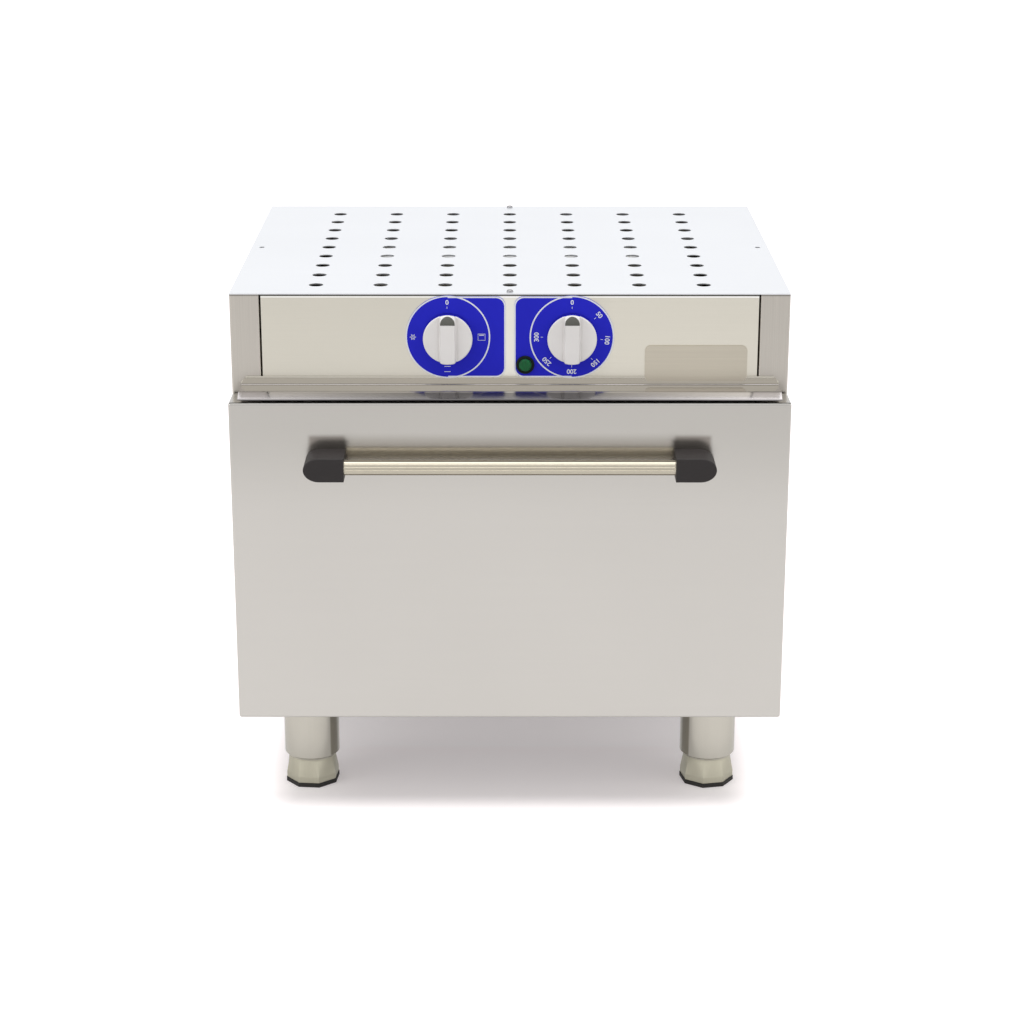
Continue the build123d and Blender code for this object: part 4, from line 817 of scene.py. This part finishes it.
def leg_profile(steps=14):
    """Radius and height of the tube: straight wall, S-shaped shoulder, bevelled mouth and inner wall.

    On the shoulder the radius falls from the tube's to the mouth's with (1 + cos) / 2.
    """
    share = np.linspace(0, 1, steps)
    fall = (1 + np.cos(math.pi * share)) / 2
    shoulder_r = mouth_radius + (leg_radius - mouth_radius) * fall
    shoulder_z = shoulder_start + (shoulder_end - shoulder_start) * share
    rim = np.array([[mouth_radius, mouth_z + rim_drop], [mouth_radius - rim_turn, mouth_z],
                    [mouth_inside, mouth_z], [mouth_inside, inside_top]])
    wall = np.array([[leg_radius, height] for height in wall_heights])
    return np.vstack([wall, np.stack([shoulder_r, shoulder_z], axis=1), rim])


def turned_points(profile, x, y, spokes=96):
    """Surface of revolution of a profile round the vertical line through x and y."""
    angle = np.linspace(0, 2 * math.pi, spokes, endpoint=False)
    across = x + profile[:, :1] * np.cos(angle)
    deep = y + profile[:, :1] * np.sin(angle)
    high = np.repeat(profile[:, 1:], spokes, axis=1)
    return np.stack([across, deep, high], axis=-1)[:, ::-1]


leg_x = leg_high[0] - leg_radius
front_leg_y = leg_low[1] + leg_radius
rear_leg_y = leg_high[1] - leg_radius
leg_stack = np.stack([turned_points(leg_profile(), side * leg_x, y)
                      for side in (-1, 1) for y in (front_leg_y, rear_leg_y)])
legs = grid_piece("turned_legs", leg_stack, leg_steel, wrap=True, cap_start=True, cap_end=True)
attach(legs, "cabinet")
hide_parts("leg_tubes")
print("legs turned", len(legs.data.polygons), "faces")

# %% [markdown]
# The studio is a pale floor that runs on to the horizon and a white world. Camera and glossy rays see the
# world as plain white, so the metal reflects the same background that the picture shows. The light that
# falls on the oven is kept lower, at a level where a colour renders about as it is written. The floor shines
# a little by itself, and more outside the patch under the oven, so only the shadow between the legs shows:
# the lamps cast it, the patch of lower glow gives it its edges, and painted shadow darkens its middle.

# %% Floor
floor_size = 30.0
floor_glow_low = 0.27
floor_glow_open = 0.44
floor_material, floor_tree, floor_shader = new_material("studio_floor")
floor_shader.inputs["Roughness"].default_value = 0.9
floor_shader.inputs["Specular IOR Level"].default_value = 0.0
mottle = stretched_noise(floor_tree, (1.0, 1.0, 1.0), 2.0, 2.0)
floor_tint = ramp_between(floor_tree, mottle, (0.80, 0.785, 0.783, 1), (0.82, 0.805, 0.803, 1))
floor_tree.links.new(floor_tint, floor_shader.inputs["Base Color"])
floor_path = add_node(floor_tree, "ShaderNodeLightPath").outputs
shadow_patch = both_masks(floor_material, band(floor_material, "X", -0.236, 0.236, 0.060),
                          band(floor_material, "Y", -0.212, 0.275, 0.068))
# Painted shadow: the floor's colour is darker under the middle of the oven.
shadow_core = both_masks(floor_material, band(floor_material, "X", -0.16, 0.16, 0.10),
                         band(floor_material, "Y", -0.22, -0.09, 0.05))
paint_shading_zone(floor_material, shadow_core, (0.86, 0.85, 0.85))


def glow_of_floor(tree):
    """Strength of the floor's own light: low for camera and glossy rays, and more on the open floor."""
    seen = greater(tree, floor_path["Is Camera Ray"], floor_path["Is Glossy Ray"])
    open_floor = add_node(tree, "ShaderNodeMath", {"operation": "SUBTRACT"}, i0=1.0, i1=shadow_patch)
    open_seen = product(tree, floor_path["Is Camera Ray"], open_floor.outputs["Value"])
    glow = add_node(tree, "ShaderNodeMath", {"operation": "MULTIPLY_ADD"}, i0=open_seen, i1=floor_glow_open,
                    i2=product(tree, seen, floor_glow_low))
    return glow.outputs["Value"]


def glow_colour(tree):
    """White, and faintly rosy for the camera."""
    mix = add_node(tree, "ShaderNodeMix", {"data_type": "RGBA"}, i0=floor_path["Is Camera Ray"])
    mix.inputs[6].default_value = (1, 1, 1, 1)
    mix.inputs[7].default_value = (1.12, 1.04, 1.045, 1)
    return mix.outputs[2]


floor_tree.links.new(glow_of_floor(floor_tree), floor_shader.inputs["Emission Strength"])
floor_tree.links.new(glow_colour(floor_tree), floor_shader.inputs["Emission Color"])
floor_edge = np.linspace(-floor_size, floor_size, 3)
floor_grid = np.stack(np.meshgrid(floor_edge, floor_edge), axis=-1)
floor_points = np.concatenate([floor_grid, np.zeros((3, 3, 1))], axis=-1)
floor = grid_piece("studio_floor", floor_points, floor_material, smooth=False)
print("floor laid")

# %% World and lights
sky_for_light = 0.55
sky_for_sight = 1.0
world = bpy.data.worlds.new("studio_world")
world.use_nodes = True
bpy.context.scene.world = world
sky_tree = world.node_tree
sky_tree.nodes.clear()
sky_path = add_node(sky_tree, "ShaderNodeLightPath").outputs
sky_seen = greater(sky_tree, sky_path["Is Camera Ray"], sky_path["Is Glossy Ray"])
sky_all = greater(sky_tree, sky_seen, sky_path["Is Transmission Ray"])
sky_strength = add_node(sky_tree, "ShaderNodeMapRange", Value=sky_all)
sky_strength.inputs["To Min"].default_value = sky_for_light
sky_strength.inputs["To Max"].default_value = sky_for_sight
sky = add_node(sky_tree, "ShaderNodeBackground", Color=(1, 1, 1, 1), Strength=sky_strength.outputs["Result"])
add_node(sky_tree, "ShaderNodeOutputWorld", Surface=sky.outputs["Background"])


def soft_box(name, place, target, size, power):
    """Square area light at a place, turned towards a target."""
    data = bpy.data.lights.new(name, "AREA")
    data.shape = "SQUARE"
    data.size = size
    data.energy = power
    lamp = bpy.data.objects.new(name, data)
    lamp.location = place
    direction = np.array(target, float) - np.array(place, float)
    flat = math.hypot(direction[0], direction[1])
    tilt = math.atan2(flat, -direction[2])
    turn = math.atan2(-direction[0], direction[1])
    lamp.rotation_euler = (tilt, 0, turn)
    bpy.context.scene.collection.objects.link(lamp)
    return lamp


soft_box("top_box", (0.0, -0.2, 3.2), (0.0, 0.0, 0.3), 2.6, 40.0)
soft_box("left_box", (-2.6, -1.6, 1.8), (0.0, 0.0, 0.3), 1.6, 18.0)
soft_box("right_box", (2.8, -1.2, 1.6), (0.0, 0.0, 0.3), 1.6, 12.0)
print("lights placed")
